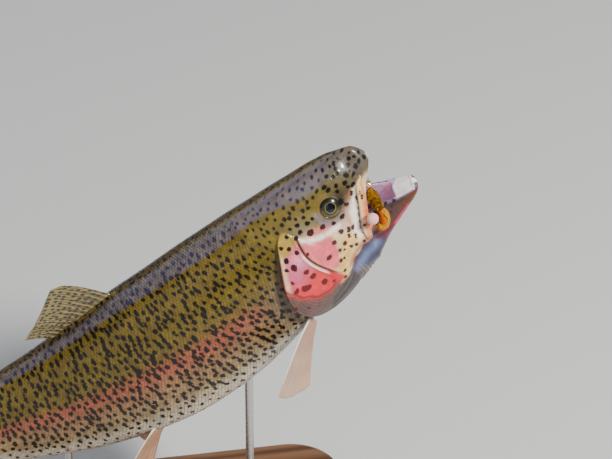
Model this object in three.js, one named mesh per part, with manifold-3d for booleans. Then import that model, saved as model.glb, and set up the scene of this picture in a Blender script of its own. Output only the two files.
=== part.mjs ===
// A life-size rainbow trout rising with its mouth open, on a display stand. Millimetres, +Z up.
// The fish faces +X, its left side is +Y, and the origin is on the floor under the middle of its box.
// Each piece of the fish is built on a straight body first: X = -s, where s is the distance behind
// the snout, Y is sideways from the middle plane and Z is above the body's axis. bend() then lays
// the straight body along the curved spine.
import * as THREE from "three";
import { mergeVertices } from "three/addons/utils/BufferGeometryUtils.js";
import Module from "manifold-3d";

const wasm = await Module();
wasm.setup();

// ---------------------------------------------------------------- driving dimensions

const NECK = 99; // where the head node meets the trunk node
const TAIL_CUT = 330; // where the trunk node meets the tail stalk
const STALK_END = 440; // end of the flesh, where the tail fin's rays start
const SNOUT_AT = new THREE.Vector3(193.3, 0.2, 310); // the body axis under the snout's tip
const GAP = 0.3; // between two nodes that touch
const RING_SIDES = 26;
const BEYOND = 60; // further sideways than any part of the body
const UNDER = -70; // lower than any part of the body

// The body's slope and its turn to the left, in degrees, at distances behind the snout
const PITCH_DEG = [[0, 52.5], [60, 52.5], [100, 43], [150, 38], [200, 33], [260, 26], [320, 18], [390, 10],
  [500, 4]];
const YAW_DEG = [[0, 0], [130, 0], [220, -5], [300, -3], [370, 5], [440, 12], [500, 15]];

// Outline of the straight body: [s, value]
const TOP = [[-4, 15], [-3, 19.5], [-1, 23.6], [2, 26.4], [6, 28.4], [11, 30.2], [18, 32.6], [26, 36], [40, 41],
  [55, 46.5], [71, 51.5], [90, 55.5], [111, 58.5], [153, 61.5], [200, 60], [250, 52.5], [300, 42], [350, 31], [390, 24.5],
  [415, 22.5], [440, 24]];
const BELLY = [[-4, -40], [40, -46.5], [54, -49.5], [70, -50.5], [86, -48.5], [106, -47.5], [125, -50.5],
  [160, -56], [200, -58], [250, -54], [300, -44.5], [330, -37], [360, -29.5], [390, -24], [415, -22],
  [440, -23.5]];
const HALF_WIDTH = [[-4, 2.6], [-2, 4.8], [0, 6.4], [4, 8.8], [8, 10.8], [14, 13.8], [22, 16.8], [30, 19.2], [45, 22.5],
  [66, 27], [90, 29.5], [120, 31], [165, 32.5], [205, 32], [250, 28.5], [300, 22.5], [350, 15.5], [390, 10.5],
  [415, 8], [440, 6.2]];
const WIDEST_Z = [[-4, 4], [14, 3], [45, -4], [90, -8], [150, -2], [250, 1], [440, 0]];
const TOP_ROUND = 2.15; // superellipse power of the upper half of a section
const BELLY_ROUND = [[-4, 5], [34, 5], [60, 2.6], [110, 2.2], [440, 2.1]];

// Mouth: the upper jaw's edge and the lower jaw's rim meet at the corner.
const UPPER_EDGE = [[-14, 5.5], [-1, 3.5], [5, 0.5], [10, -1], [16, -5], [22, -10], [30, -17], [38, -26.5],
  [43, -33], [46, -37]];
const LOWER_RIM = [[-14, -35.6], [-3.5, -35.2], [0, -33.6], [4, -31], [9, -27.8], [14, -24.2], [19, -19.5],
  [25, -15.5]];
const CHEEK_EDGE = 30; // behind this the lower jaw's wall meets the upper jaw's edge
const JAW_SPLIT = [[50, -42], [55, -51], [58, UNDER]];
const JAW_TIP = -4;
const JAW_HALF_WIDTH = [[-4, 5.6], [-2.5, 8.2], [0, 9.8], [4, 11.2], [8, 12], [14, 13.1], [28, 16],
  [44, 20], [62, 23.5]];
const JAW_UNDERSIDE = [[-4, -38.4], [-2.5, -39.4], [0, -40.5], [4, -41.2], [11, -41.6], [30, -42.6],
  [44, -45.5], [53, -48.5], [62, -50]];
const CAVITY = [
  // s, half width, roof, floor
  [-9, 3, 12, -38],
  [-1, 4.6, 5, -38.2],
  [4, 7.6, 2, -38.6],
  [14, 10, -1.5, -39],
  [28, 13, -4, -40],
  [44, 16, -9, -41.5],
  [56, 15, -17, -40],
  [66, 9, -26, -36],
  [71, 4, -29, -33],
];

const EYE = { s: 37, z: 11.5, across: 9, deep: 6, set: 5.1, roll: 0.2, turn: 0.22 }; // half sizes, radians
const MAXILLA_PATH = [[7, 3.5], [11, 1.2], [17, -3.4], [24, -8.8], [31, -14.6], [38, -22], [43.5, -29.4],
  [46.5, -34]];
const MAXILLA_RADIUS = [1.8, 3, 3.8, 4.1, 4.2, 4.3, 3.9, 2.2];
const MAXILLA_FLAT = 0.42; // its thickness as a share of its width
const TONGUE_PATH = [[9, -36.6], [14, -35.4], [24, -35], [36, -35.6], [46, -36.5]];
const TONGUE_HALF_WIDTH = [1.6, 4, 5.8, 6.8, 7];
const TONGUE_FLAT = 0.55;
const COVER_OUTLINE = [[66, 20], [69, 29], [76, 29], [86, 21], [97, 8], [104, -5], [106.5, -18], [102, -31],
  [93, -39], [82, -44], [71, -43.5], [66, -35], [63, -18], [62.5, 3]];
const COVER_MIDDLE = [84, -12];
// How far the gill cover stands off the body, more towards its hind edge
const COVER_FLARE = { from: 64, to: 104, front: 0.8, hind: 7.3, under: 2.5 };
const COVER_THICK = 3.2;
const COVER_INNER_Y = 5; // its inner edge, off the middle plane

// Median fins: s of the first and last ray; length of the first and the longest ray and how much
// shorter the last one is; where the longest is; lean in degrees; how deep the roots reach
const DORSAL = { s: [204, 262], long: [40, 47, 23], peak: 0.1, fall: 0.9, lean: [38, 58], sunk: 5 };
const ADIPOSE = { s: [350, 363], long: [12, 19, 4], peak: 0.35, fall: 1, lean: [48, 60], sunk: 4 };
const ANAL = { s: [320, 358], long: [36, 42, 23], peak: 0.12, fall: 0.9, lean: [28, 48], sunk: 4 };
const FIN_THICK = { root: 3, edge: 0.9 };
const ADIPOSE_THICK = { root: 3.4, edge: 1.6 };
const TAIL_THICK = { root: 4, edge: 0.9 };
const TAIL = { half: 21, spread: 33, long: 69, fork: 14, sunk: 6 };
// Paired fins: the root's place, its width, the longest ray, the fan's angle and which way it points
const PECTORAL = { s: 112, z: -41, y: 22, base: 14, long: 66, fan: 46, back: 0.72, down: 0.26, out: 0.6 };
const PELVIC = { s: 238, z: -49, y: 13, base: 11, long: 52, fan: 42, back: 0.78, down: 0.48, out: 0.36 };

// The artificial fly: places are [s, y, z] on the straight body
const FLY_BEAD = { at: [12.8, -6.8, -6.4], radius: 2.7 };
const FLY_BODY = { path: [[14.8, -8.4, -8.6], [16.6, -9.8, -11.4], [18.2, -12.8, -14.7], [18.9, -17.6, -16.8]],
  radii: [3, 4, 3.9, 2.6] };
const FLY_TAIL = {
  path: [[19.3, -19.4, -19.4], [20.4, -20.8, -22.6], [23, -21.8, -25.6], [26.6, -22.6, -27.2],
    [28.8, -23.4, -25.6], [28.2, -24.2, -23]],
  radii: [2.4, 3.4, 3.4, 3.2, 2.5, 1.3],
};
const FLY_EGG = { at: [25.2, -26.2, -15.1], radius: 4.1 };

const BASE = { long: 270, wide: 150, thick: 14, corner: 34, edge: 2.5, x: 46 };
const ROD_RADIUS = 3;
const ROD_INSIDE = 12; // how far a rod would reach into the body, before it is cut off at the belly
const ROD_S = { stand_rod_front: 172, stand_rod_rear: 300 };

// ---------------------------------------------------------------- curves and the bend

// Smooth curve through [x, y] knots that never overshoots them.
function curve(knots) {
  const n = knots.length;
  const slope = knots.slice(1).map(([x, y], i) => (y - knots[i][1]) / (x - knots[i][0]));
  const tangent = knots.map((_, i) => {
    if (i === 0) return slope[0];
    if (i === n - 1) return slope[n - 2];
    const [a, b] = [slope[i - 1], slope[i]];
    if (a * b <= 0) return 0;
    const [h0, h1] = [knots[i][0] - knots[i - 1][0], knots[i + 1][0] - knots[i][0]];
    return (3 * (h0 + h1)) / ((2 * h1 + h0) / a + (h1 + 2 * h0) / b);
  });
  return (x) => {
    if (x <= knots[0][0]) return knots[0][1];
    if (x >= knots[n - 1][0]) return knots[n - 1][1];
    let i = 0;
    while (x > knots[i + 1][0]) i++;
    const h = knots[i + 1][0] - knots[i][0];
    const t = (x - knots[i][0]) / h;
    const [t2, t3] = [t * t, t * t * t];
    return (
      (2 * t3 - 3 * t2 + 1) * knots[i][1] +
      (t3 - 2 * t2 + t) * h * tangent[i] +
      (3 * t2 - 2 * t3) * knots[i + 1][1] +
      (t3 - t2) * h * tangent[i + 1]
    );
  };
}

const [top, belly, halfWidth] = [TOP, BELLY, HALF_WIDTH].map(curve);
const [widestZ, bellyRound] = [WIDEST_Z, BELLY_ROUND].map(curve);
const [pitch, yaw] = [PITCH_DEG, YAW_DEG].map(curve);
const jawHalfWidth = curve(JAW_HALF_WIDTH);
const jawUnderside = curve(JAW_UNDERSIDE);

const mix = THREE.MathUtils.lerp;

function forwardAt(s) {
  const [p, w] = [pitch(s), yaw(s)].map(THREE.MathUtils.degToRad);
  return new THREE.Vector3(Math.cos(p) * Math.cos(w), Math.cos(p) * Math.sin(w), Math.sin(p));
}

// The spine as one point for each millimetre behind the snout.
const SPINE = [SNOUT_AT.clone()];
for (let s = 0; s < 520; s++) SPINE.push(SPINE[s].clone().addScaledVector(forwardAt(s + 0.5), -1));

function bend(x, y, z) {
  const s = -x;
  const i = THREE.MathUtils.clamp(Math.floor(s), 0, SPINE.length - 2);
  const forward = forwardAt(s);
  const left = new THREE.Vector3(-forward.y, forward.x, 0).normalize();
  const up = forward.clone().cross(left);
  const on = SPINE[i].clone().lerp(SPINE[i + 1], s - i);
  return on.addScaledVector(left, y).addScaledVector(up, z);
}

// ---------------------------------------------------------------- solids

const lateral = new THREE.Vector3(0, 1, 0);

function meshOf(positions, index) {
  const g = new THREE.BufferGeometry();
  g.setAttribute("position", new THREE.Float32BufferAttribute(positions, 3));
  g.setIndex(index);
  return g;
}

// A closed solid through rings with the same number of points, with a fan over each end.
function loft(rings) {
  const n = rings[0].length;
  const positions = rings.flat().flatMap((p) => [p.x, p.y, p.z]);
  const index = [];
  for (let r = 0; r < rings.length - 1; r++) {
    for (let i = 0; i < n; i++) {
      const [a, b] = [r * n + i, r * n + ((i + 1) % n)];
      index.push(a, b, b + n, a, b + n, a + n);
    }
  }
  for (const [ring, start, flip] of [[rings[0], 0, true], [rings.at(-1), (rings.length - 1) * n, false]]) {
    const middle = ring.reduce((m, p) => m.add(p), new THREE.Vector3()).divideScalar(n);
    const c = positions.length / 3;
    positions.push(middle.x, middle.y, middle.z);
    for (let i = 0; i < n; i++) {
      const [a, b] = [start + i, start + ((i + 1) % n)];
      index.push(...(flip ? [c, b, a] : [c, a, b]));
    }
  }
  return solid(meshOf(positions, index));
}

// A manifold-3d solid from a closed geometry, turned the right way out.
function solid(geometry) {
  const g = geometry.clone();
  g.deleteAttribute("normal");
  g.deleteAttribute("uv");
  const merged = mergeVertices(g, 1e-4);
  const triVerts = new Uint32Array(merged.index.array);
  const vertProperties = merged.attributes.position.array;
  const make = () => new wasm.Manifold(new wasm.Mesh({ numProp: 3, vertProperties, triVerts }));
  const made = make();
  if (made.volume() >= 0) return made;
  for (let i = 0; i < triVerts.length; i += 3) {
    [triVerts[i], triVerts[i + 1]] = [triVerts[i + 1], triVerts[i]];
  }
  return make();
}

// A superellipse section at s: power rises towards a box.
function section(s, width, upper, lower, middle, powers, sides = RING_SIDES) {
  return Array.from({ length: sides }, (_, i) => {
    const a = (2 * Math.PI * i) / sides;
    const [c, d] = [Math.cos(a), Math.sin(a)];
    const power = 2 / (d >= 0 ? powers[0] : powers[1]);
    const reach = d >= 0 ? upper - middle : middle - lower;
    return new THREE.Vector3(
      -s,
      width * Math.sign(c) * Math.abs(c) ** power,
      middle + reach * Math.sign(d) * Math.abs(d) ** power,
    );
  });
}

function bodySection(s, grow = 0) {
  const powers = [TOP_ROUND, bellyRound(s)];
  return section(s, halfWidth(s) + grow, top(s) + grow, belly(s) - grow, widestZ(s), powers);
}

const range = (from, to, steps) =>
  Array.from({ length: steps + 1 }, (_, i) => from + ((to - from) * i) / steps);

// The body from one s to another; grow swells it evenly.
function bodyLoft(stations, grow = 0) {
  return loft(stations.map((s) => bodySection(s, grow)));
}

// A prism across the body with this outline in the side view, from one y to another.
function sidePrism(outline, y0, y1) {
  const shape = new THREE.Shape(outline.map(([s, z]) => new THREE.Vector2(-s, z)));
  const g = new THREE.ExtrudeGeometry(shape, { depth: y1 - y0, bevelEnabled: false });
  return solid(g.rotateX(Math.PI / 2).translate(0, y1, 0));
}

function smoothOutline(points, steps) {
  const line = new THREE.SplineCurve(points.map(([s, z]) => new THREE.Vector2(s, z)).concat([
    new THREE.Vector2(...points[0]),
  ]));
  return line.getPoints(steps).slice(0, -1).map((p) => [p.x, p.y]);
}

// A thin solid on the surface at(u, v), thick at its root (v = 0) and thin at its margin (v = 1).
function fin(at, side, across = 10, out = 4, thickness = FIN_THICK) {
  const positions = [];
  const index = [];
  const id = (face, i, j) => (face * (across + 1) + i) * (out + 1) + j;
  for (const face of [0, 1]) {
    for (let i = 0; i <= across; i++) {
      for (let j = 0; j <= out; j++) {
        const thick = mix(thickness.root, thickness.edge, j / out) / 2;
        const p = at(i / across, j / out).addScaledVector(side, face ? -thick : thick);
        positions.push(p.x, p.y, p.z);
      }
    }
  }
  const quad = (a, b, c, d) => index.push(a, b, c, a, c, d);
  for (let i = 0; i < across; i++) {
    for (let j = 0; j < out; j++) {
      quad(id(0, i, j), id(0, i + 1, j), id(0, i + 1, j + 1), id(0, i, j + 1));
      quad(id(1, i, j), id(1, i, j + 1), id(1, i + 1, j + 1), id(1, i + 1, j));
    }
  }
  for (let i = 0; i < across; i++) {
    quad(id(0, i + 1, 0), id(0, i, 0), id(1, i, 0), id(1, i + 1, 0));
    quad(id(0, i, out), id(0, i + 1, out), id(1, i + 1, out), id(1, i, out));
  }
  for (let j = 0; j < out; j++) {
    quad(id(0, 0, j), id(0, 0, j + 1), id(1, 0, j + 1), id(1, 0, j));
    quad(id(0, across, j + 1), id(0, across, j), id(1, across, j), id(1, across, j + 1));
  }
  return solid(meshOf(positions, index));
}

// A tube of oval rings along a line of points; each ring has its own half width and half thickness.
function tube(points, wide, thick = wide, sides = 12) {
  const rings = points.map((p, i) => {
    const next = points[Math.min(i + 1, points.length - 1)];
    const ahead = next.clone().sub(points[Math.max(i - 1, 0)]).normalize();
    const a = lateral.clone().cross(ahead).normalize();
    const b = ahead.clone().cross(a);
    return Array.from({ length: sides }, (_, k) => {
      const t = (2 * Math.PI * k) / sides;
      return p
        .clone()
        .addScaledVector(a, wide[i] * Math.cos(t))
        .addScaledVector(b, thick[i] * Math.sin(t));
    });
  });
  return loft(rings);
}

const sphere = (sides) => new THREE.SphereGeometry(1, sides, sides * 0.625);

// ---------------------------------------------------------------- head

const cavity = loft(
  CAVITY.map(([s, w, roof, floor]) => section(s, w, roof, floor, (roof + floor) / 2, [2.6, 2.6], 20)),
);

// Everything below the upper jaw's edge and in front of the jaw joint.
const gape = sidePrism([...UPPER_EDGE, ...JAW_SPLIT, [UPPER_EDGE[0][0], UNDER]], -BEYOND, BEYOND);

const headStations = [-4, -2, 1, 5, 11, 18, 26, 36, 47, 58, 70, 84, NECK - GAP];
const headBlock = bodyLoft(headStations).subtract(cavity);

function eyeBall(sign, grow = 0) {
  const at = new THREE.Vector3(-EYE.s, sign * (halfWidth(EYE.s) - EYE.set), EYE.z);
  const turn = new THREE.Euler(sign * EYE.roll, 0, -sign * EYE.turn);
  const g = sphere(16).scale(EYE.across + grow, EYE.deep + grow, EYE.across + grow);
  g.applyQuaternion(new THREE.Quaternion().setFromEuler(turn));
  return solid(g.translate(at.x, at.y, at.z));
}

// The gill cover lies on the cheek and flares outward towards its hind edge.
function coverLayer(extra) {
  const { from, to, front, hind, under } = COVER_FLARE;
  const sectionAt = (s) => {
    const flare = mix(front, hind, THREE.MathUtils.smoothstep(s, from, to));
    return section(s, halfWidth(s) + flare + extra, top(s) + extra, belly(s) - under - extra, widestZ(s),
      [TOP_ROUND, bellyRound(s)]);
  };
  return loft(range(from - 6, to + 4, 9).map(sectionAt));
}

const coverOuter = coverLayer(0);
const coverInner = coverLayer(-COVER_THICK);
const coverBed = coverLayer(-COVER_THICK - GAP);
const coverOutline = smoothOutline(COVER_OUTLINE, 40);

// The outline's prism on one side of the body, from this far off the middle plane outward.
const onSide = (sign, outline, from) =>
  sign > 0 ? sidePrism(outline, from, BEYOND) : sidePrism(outline, -BEYOND, -from);

const gillCover = (sign) =>
  coverOuter.intersect(onSide(sign, coverOutline, COVER_INNER_Y)).subtract(coverInner);

function coverPocket(sign) {
  const [cs, cz] = COVER_MIDDLE;
  const wider = coverOutline.map(([s, z]) => {
    const r = Math.hypot(s - cs, z - cz);
    return [s + ((s - cs) * GAP) / r, z + ((z - cz) * GAP) / r];
  });
  return onSide(sign, wider, COVER_INNER_Y - GAP).subtract(coverBed);
}

// The long upper lip bone, from the snout down to the corner of the mouth.
function maxilla(sign, grow = 0) {
  const points = MAXILLA_PATH.map(([s, z]) => new THREE.Vector3(-s, sign * (halfWidth(s) + 0.2), z));
  const [first, last] = [points[0], points.at(-1)];
  first.addScaledVector(first.clone().sub(points[1]).normalize(), grow);
  last.addScaledVector(last.clone().sub(points.at(-2)).normalize(), grow);
  const wide = MAXILLA_RADIUS.map((r) => r + grow);
  const thick = MAXILLA_RADIUS.map((r) => r * MAXILLA_FLAT + grow);
  return tube(points, wide, thick, 10);
}

const jawBlock = loft(
  [JAW_TIP, -2.5, 0, 4, 11, 20, 30, 40, 50, 60].map((s) =>
    section(s, jawHalfWidth(s), 2, jawUnderside(s), -36, [12, 2.4]),
  ),
);
const headSide = [...UPPER_EDGE.filter(([s]) => s >= CHEEK_EDGE), ...JAW_SPLIT];
const aboveRim = sidePrism(
  [...LOWER_RIM, ...headSide.map(([s, z]) => [s - GAP, z - GAP]), [NECK, UNDER], [NECK, BEYOND],
    [LOWER_RIM[0][0], BEYOND]],
  -BEYOND,
  BEYOND,
);
const lowerJaw = [cavity, maxilla(1, GAP), maxilla(-1, GAP)].reduce(
  (jaw, cutter) => jaw.subtract(cutter),
  jawBlock.subtract(aboveRim),
);

const tongue = tube(
  TONGUE_PATH.map(([s, z]) => new THREE.Vector3(-s, 0, z)),
  TONGUE_HALF_WIDTH,
  TONGUE_HALF_WIDTH.map((r) => r * TONGUE_FLAT),
).subtract(jawBlock.subtract(cavity.translate([0, 0, GAP])));

const head = [1, -1].reduce(
  (block, sign) =>
    block.subtract(eyeBall(sign, GAP)).subtract(maxilla(sign, GAP)).subtract(coverPocket(sign)),
  headBlock.subtract(gape),
);

// ---------------------------------------------------------------- trunk, tail and fins

const trunkStations = [NECK, ...range(112, TAIL_CUT - 8, 13), TAIL_CUT - GAP];
const trunk = bodyLoft(trunkStations).subtract(coverPocket(1)).subtract(coverPocket(-1));
const stalk = bodyLoft([...range(TAIL_CUT, STALK_END - 4, 8), STALK_END]);
// What the fins and the rods stop at
const bodySkin = bodyLoft([...range(60, STALK_END - 10, 37), STALK_END + GAP], GAP);

const rise = (u, peak) => Math.min(1, u / peak);

// A ray fin in the middle plane, on the back (side 1) or under the belly (side -1).
function medianFin({ s: roots, long, peak, fall, lean, sunk }, side) {
  const [first, longest, fallBy] = long;
  return (u, v) => {
    const s = mix(...roots, u);
    const reach = v * (mix(first, longest, rise(u, peak)) - fallBy * u ** fall + sunk);
    const a = THREE.MathUtils.degToRad(mix(...lean, u) + 10 * v * v);
    const root = side > 0 ? top(s) - sunk : belly(s) + sunk;
    return new THREE.Vector3(-(s + reach * Math.sin(a)), 0, root + side * reach * Math.cos(a));
  };
}

const dorsalFin = fin(medianFin(DORSAL, 1), lateral).subtract(bodySkin);
const adiposeFin = fin(medianFin(ADIPOSE, 1), lateral, 10, 4, ADIPOSE_THICK).subtract(bodySkin);
const analFin = fin(medianFin(ANAL, -1), lateral).subtract(bodySkin);

// The tail fin's rays fan out from the end of the stalk, shortest in the middle of the fork.
const caudalFin = fin(
  (u, v) => {
    const t = 2 * u - 1;
    const a = THREE.MathUtils.degToRad(TAIL.spread * t);
    const long = TAIL.long - TAIL.fork * (1 - Math.abs(t) ** 1.5) - 3 * Math.abs(t) ** 6;
    const curl = 1 + 0.12 * v * v;
    return new THREE.Vector3(-(STALK_END - TAIL.sunk + v * long * Math.cos(a)), 0,
      t * TAIL.half + v * long * Math.sin(a) * curl);
  },
  lateral, 14, 5, TAIL_THICK,
).subtract(bodySkin);

// A paired fin: its rays fan out from a short base on the skin.
function pairedFin(sign, { s, z, y, base, long, fan, back, down, out: outward }) {
  const axis = new THREE.Vector3(-back, sign * outward, -down).normalize();
  const spreadWay = new THREE.Vector3(-0.35, -sign * 0.35, -0.87).normalize();
  spreadWay.addScaledVector(axis, -spreadWay.dot(axis)).normalize();
  const normal = axis.clone().cross(spreadWay).normalize();
  return fin(
    (u, v) => {
      const t = u - 0.5;
      const a = THREE.MathUtils.degToRad(fan * t);
      const reach = long * (1 - 0.34 * u - 0.22 * (1 - rise(u, 0.12))) * v + 0.001;
      return new THREE.Vector3(-s, sign * y, z)
        .addScaledVector(spreadWay, base * t + reach * Math.sin(a))
        .addScaledVector(axis, reach * Math.cos(a) - 4)
        .addScaledVector(normal, -sign * 3.5 * v * v);
    },
    normal, 8,
  ).subtract(bodySkin);
}

// ---------------------------------------------------------------- the artificial fly in its mouth

const ball = ({ at: [s, y, z], radius }) =>
  solid(sphere(12).scale(radius, radius, radius).translate(-s, y, z));
const rope = ({ path, radii }) => tube(path.map(([s, y, z]) => new THREE.Vector3(-s, y, z)), radii);

// ---------------------------------------------------------------- stand

function standBase() {
  const { long, wide, thick, corner, edge } = BASE;
  const [x, y] = [long / 2 - edge, wide / 2 - edge];
  const shape = new THREE.Shape();
  shape.moveTo(-x + corner, -y);
  shape.lineTo(x - corner, -y).absarc(x - corner, -y + corner, corner, -Math.PI / 2, 0);
  shape.lineTo(x, y - corner).absarc(x - corner, y - corner, corner, 0, Math.PI / 2);
  shape.lineTo(-x + corner, y).absarc(-x + corner, y - corner, corner, Math.PI / 2, Math.PI);
  shape.lineTo(-x, -y + corner).absarc(-x + corner, -y + corner, corner, Math.PI, 1.5 * Math.PI);
  const bevel = { bevelThickness: edge, bevelSize: edge, bevelSegments: 2 };
  const g = new THREE.ExtrudeGeometry(shape, { depth: thick - 2 * edge, curveSegments: 6, ...bevel });
  return solid(g.translate(BASE.x, 0, edge));
}

// A rod stands upright on the base and stops at the belly.
function standRod(s) {
  const foot = bend(-s, 0, belly(s));
  const height = foot.z + ROD_INSIDE - BASE.thick - GAP;
  const g = new THREE.CylinderGeometry(ROD_RADIUS, ROD_RADIUS, height, 20).rotateX(Math.PI / 2);
  return solid(g.translate(foot.x, foot.y, BASE.thick + GAP + height / 2));
}

// ---------------------------------------------------------------- the group

function geometryOf(manifold, place) {
  const { vertProperties, triVerts, numProp } = manifold.getMesh();
  const positions = new Float32Array((vertProperties.length / numProp) * 3);
  for (let i = 0; i < positions.length / 3; i++) {
    const p = place(...vertProperties.subarray(i * numProp, i * numProp + 3));
    positions.set([p.x, p.y, p.z], 3 * i);
  }
  const g = meshOf(positions, [...triVerts]);
  g.computeVertexNormals();
  return g;
}

const trout = new THREE.Group();
const asIs = (x, y, z) => new THREE.Vector3(x, y, z);

function add(name, manifold, [color, roughness, metalness = 0], place = bend) {
  const mesh = new THREE.Mesh(geometryOf(manifold, place), new THREE.MeshStandardMaterial({
    color, roughness, metalness,
  }));
  mesh.name = name;
  trout.add(mesh);
}

// Colour, roughness and metalness
const PAINT = {
  back: ["#7d6d38", 0.35],
  cheek: ["#d9a79a", 0.35],
  gill: ["#d2605a", 0.35],
  lip: ["#e6d2a4", 0.4],
  mouth: ["#d9a3a8", 0.4],
  fin: ["#8a7a55", 0.4],
  eye: ["#14161c", 0.05],
  gold: ["#c8a24a", 0.25, 1],
  olive: ["#a8881c", 0.7],
  orange: ["#e08a12", 0.6],
  pink: ["#e9b3a6", 0.5],
  wood: ["#6b4a32", 0.5],
  steel: ["#b9bcc0", 0.3, 1],
};

add("head", head, PAINT.cheek);
add("lower_jaw", lowerJaw, PAINT.lip);
add("tongue", tongue, PAINT.mouth);
add("trunk", trunk, PAINT.back);
add("tail_stalk", stalk, PAINT.back);
add("dorsal_fin", dorsalFin, PAINT.fin);
add("adipose_fin", adiposeFin, PAINT.fin);
add("anal_fin", analFin, PAINT.fin);
add("caudal_fin", caudalFin, PAINT.fin);
for (const [side, sign] of [["left", 1], ["right", -1]]) {
  add(`eye_${side}`, eyeBall(sign), PAINT.eye);
  add(`maxilla_${side}`, maxilla(sign), PAINT.lip);
  add(`gill_cover_${side}`, gillCover(sign), PAINT.gill);
  add(`pectoral_fin_${side}`, pairedFin(sign, PECTORAL), PAINT.fin);
  add(`pelvic_fin_${side}`, pairedFin(sign, PELVIC), PAINT.fin);
}

add("fly_bead", ball(FLY_BEAD), PAINT.gold);
add("fly_body", rope(FLY_BODY), PAINT.olive);
add("fly_tail", rope(FLY_TAIL), PAINT.orange);
add("fly_egg", ball(FLY_EGG), PAINT.pink);

add("stand_base", standBase(), PAINT.wood, asIs);
const bodyInWorld = solid(geometryOf(bodySkin, bend));
for (const [name, s] of Object.entries(ROD_S)) {
  add(name, standRod(s).subtract(bodyInWorld), PAINT.steel, asIs);
}

export default trout;
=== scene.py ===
"""A life-size rainbow trout model on a stand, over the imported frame.

Everything on the fish is worked out on a straight body first, in millimetres: s is the distance
behind the snout, y is to the fish's left and z is above the body's axis. bend() then lays it along
the curved spine, and the last step turns millimetres into metres.
"""

import math

import bpy
import numpy as np
import openvdb
from mathutils import Euler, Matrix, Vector


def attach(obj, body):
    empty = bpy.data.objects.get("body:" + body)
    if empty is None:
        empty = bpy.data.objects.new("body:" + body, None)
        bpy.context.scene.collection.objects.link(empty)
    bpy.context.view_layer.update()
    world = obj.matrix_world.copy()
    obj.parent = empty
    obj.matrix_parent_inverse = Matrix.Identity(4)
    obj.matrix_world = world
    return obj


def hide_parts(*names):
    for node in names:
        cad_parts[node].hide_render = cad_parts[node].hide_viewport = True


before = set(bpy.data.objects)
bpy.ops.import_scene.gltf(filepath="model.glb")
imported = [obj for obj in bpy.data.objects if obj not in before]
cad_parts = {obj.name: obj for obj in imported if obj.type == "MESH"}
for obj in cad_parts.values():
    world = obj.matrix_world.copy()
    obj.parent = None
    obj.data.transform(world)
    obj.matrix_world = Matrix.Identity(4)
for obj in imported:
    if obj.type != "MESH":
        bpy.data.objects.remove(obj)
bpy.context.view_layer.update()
rng = np.random.default_rng(20)

# ------------------------------------------------------------------ tables and sizes
# These are the CAD source's own, apart from LIP_PATH and LIP_RADIUS, which make a narrower bone than
# the CAD's, and the last knots of HALF_WIDTH, which narrow the end of the tail stalk.

SNOUT_AT = (193.3, 0.2, 310.0)
STALK_END = 440.0
PITCH_DEG = [[0, 52.5], [60, 52.5], [100, 43], [150, 38], [200, 33], [260, 26], [320, 18],
             [390, 10], [500, 4]]
YAW_DEG = [[0, 0], [130, 0], [220, -5], [300, -3], [370, 5], [440, 12], [500, 15]]
TOP = [[-4, 15], [-3, 19.5], [-1, 23.6], [2, 26.4], [6, 28.4], [11, 30.2], [18, 32.6], [26, 36],
       [40, 41], [55, 46.5], [71, 51.5], [90, 55.5], [111, 58.5], [153, 61.5], [200, 60],
       [250, 52.5], [300, 42], [350, 31], [390, 24.5], [415, 22.5], [440, 24]]
BELLY = [[-4, -40], [40, -46.5], [54, -49.5], [70, -50.5], [86, -48.5], [106, -47.5], [125, -50.5],
         [160, -56], [200, -58], [250, -54], [300, -44.5], [330, -37], [360, -29.5], [390, -24],
         [415, -22], [440, -23.5]]
HALF_WIDTH = [[-4, 2.6], [-2, 4.8], [0, 6.4], [4, 8.8], [8, 10.8], [14, 13.8], [22, 16.8],
              [30, 19.2], [45, 22.5], [66, 27], [90, 29.5], [120, 31], [165, 32.5], [205, 32],
              [250, 28.5], [300, 22.5], [350, 15.5], [390, 10.5], [415, 8], [440, 6.2], [447, 3.9],
              [454, 1.1]]
WIDEST_Z = [[-4, 4], [14, 3], [45, -4], [90, -8], [150, -2], [250, 1], [440, 0]]
TOP_ROUND = 2.15
BELLY_ROUND = [[-4, 5], [34, 5], [60, 2.6], [110, 2.2], [440, 2.1]]
UPPER_EDGE = [[-14, 5.5], [-1, 3.5], [5, 0.5], [10, -1], [16, -5], [22, -10], [30, -17],
              [38, -26.5], [43, -33], [46, -37]]
LOWER_RIM = [[-14, -35.6], [-3.5, -35.2], [0, -33.6], [4, -31], [9, -27.8], [14, -24.2],
             [19, -19.5], [25, -15.5]]
JAW_SPLIT = [[50, -42], [55, -51], [58, -70]]
JAW_HALF_WIDTH = [[-5.2, 2.5], [-4, 5.6], [-2.5, 8.2], [0, 9.8], [4, 11.2], [8, 12], [14, 13.1],
                  [28, 16], [44, 20], [62, 23.5]]
JAW_UNDERSIDE = [[-4, -38.4], [-2.5, -39.4], [0, -40.5], [4, -41.2], [11, -41.6], [30, -42.6],
                 [44, -45.5], [53, -48.5], [62, -50]]
CAVITY = [[-9, 3, 12, -38], [-1, 4.6, 5, -38.2], [4, 7.6, 2, -38.6], [14, 10, -1.5, -39],
          [28, 13, -4, -40], [44, 16, -9, -41.5], [56, 15, -17, -40], [66, 9, -26, -36],
          [71, 4, -29, -33]]
EYE = dict(s=37, z=11.5, across=9, deep=6, set=5.1, roll=0.2, turn=0.22)
LIP_PATH = [[9.5, 4.6], [13, 3.4], [18.2, -1.8], [24, -7.6], [30.6, -13.8], [36, -19.6], [39.6, -25]]
LIP_RADIUS = [1.2, 2.4, 2.9, 3.2, 3.4, 3.3, 2.2]
TONGUE_PATH = [[9, -36.6], [14, -35.4], [24, -35], [36, -35.6], [46, -36.5]]
TONGUE_HALF_WIDTH = [1.6, 4, 5.8, 6.8, 7]
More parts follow.
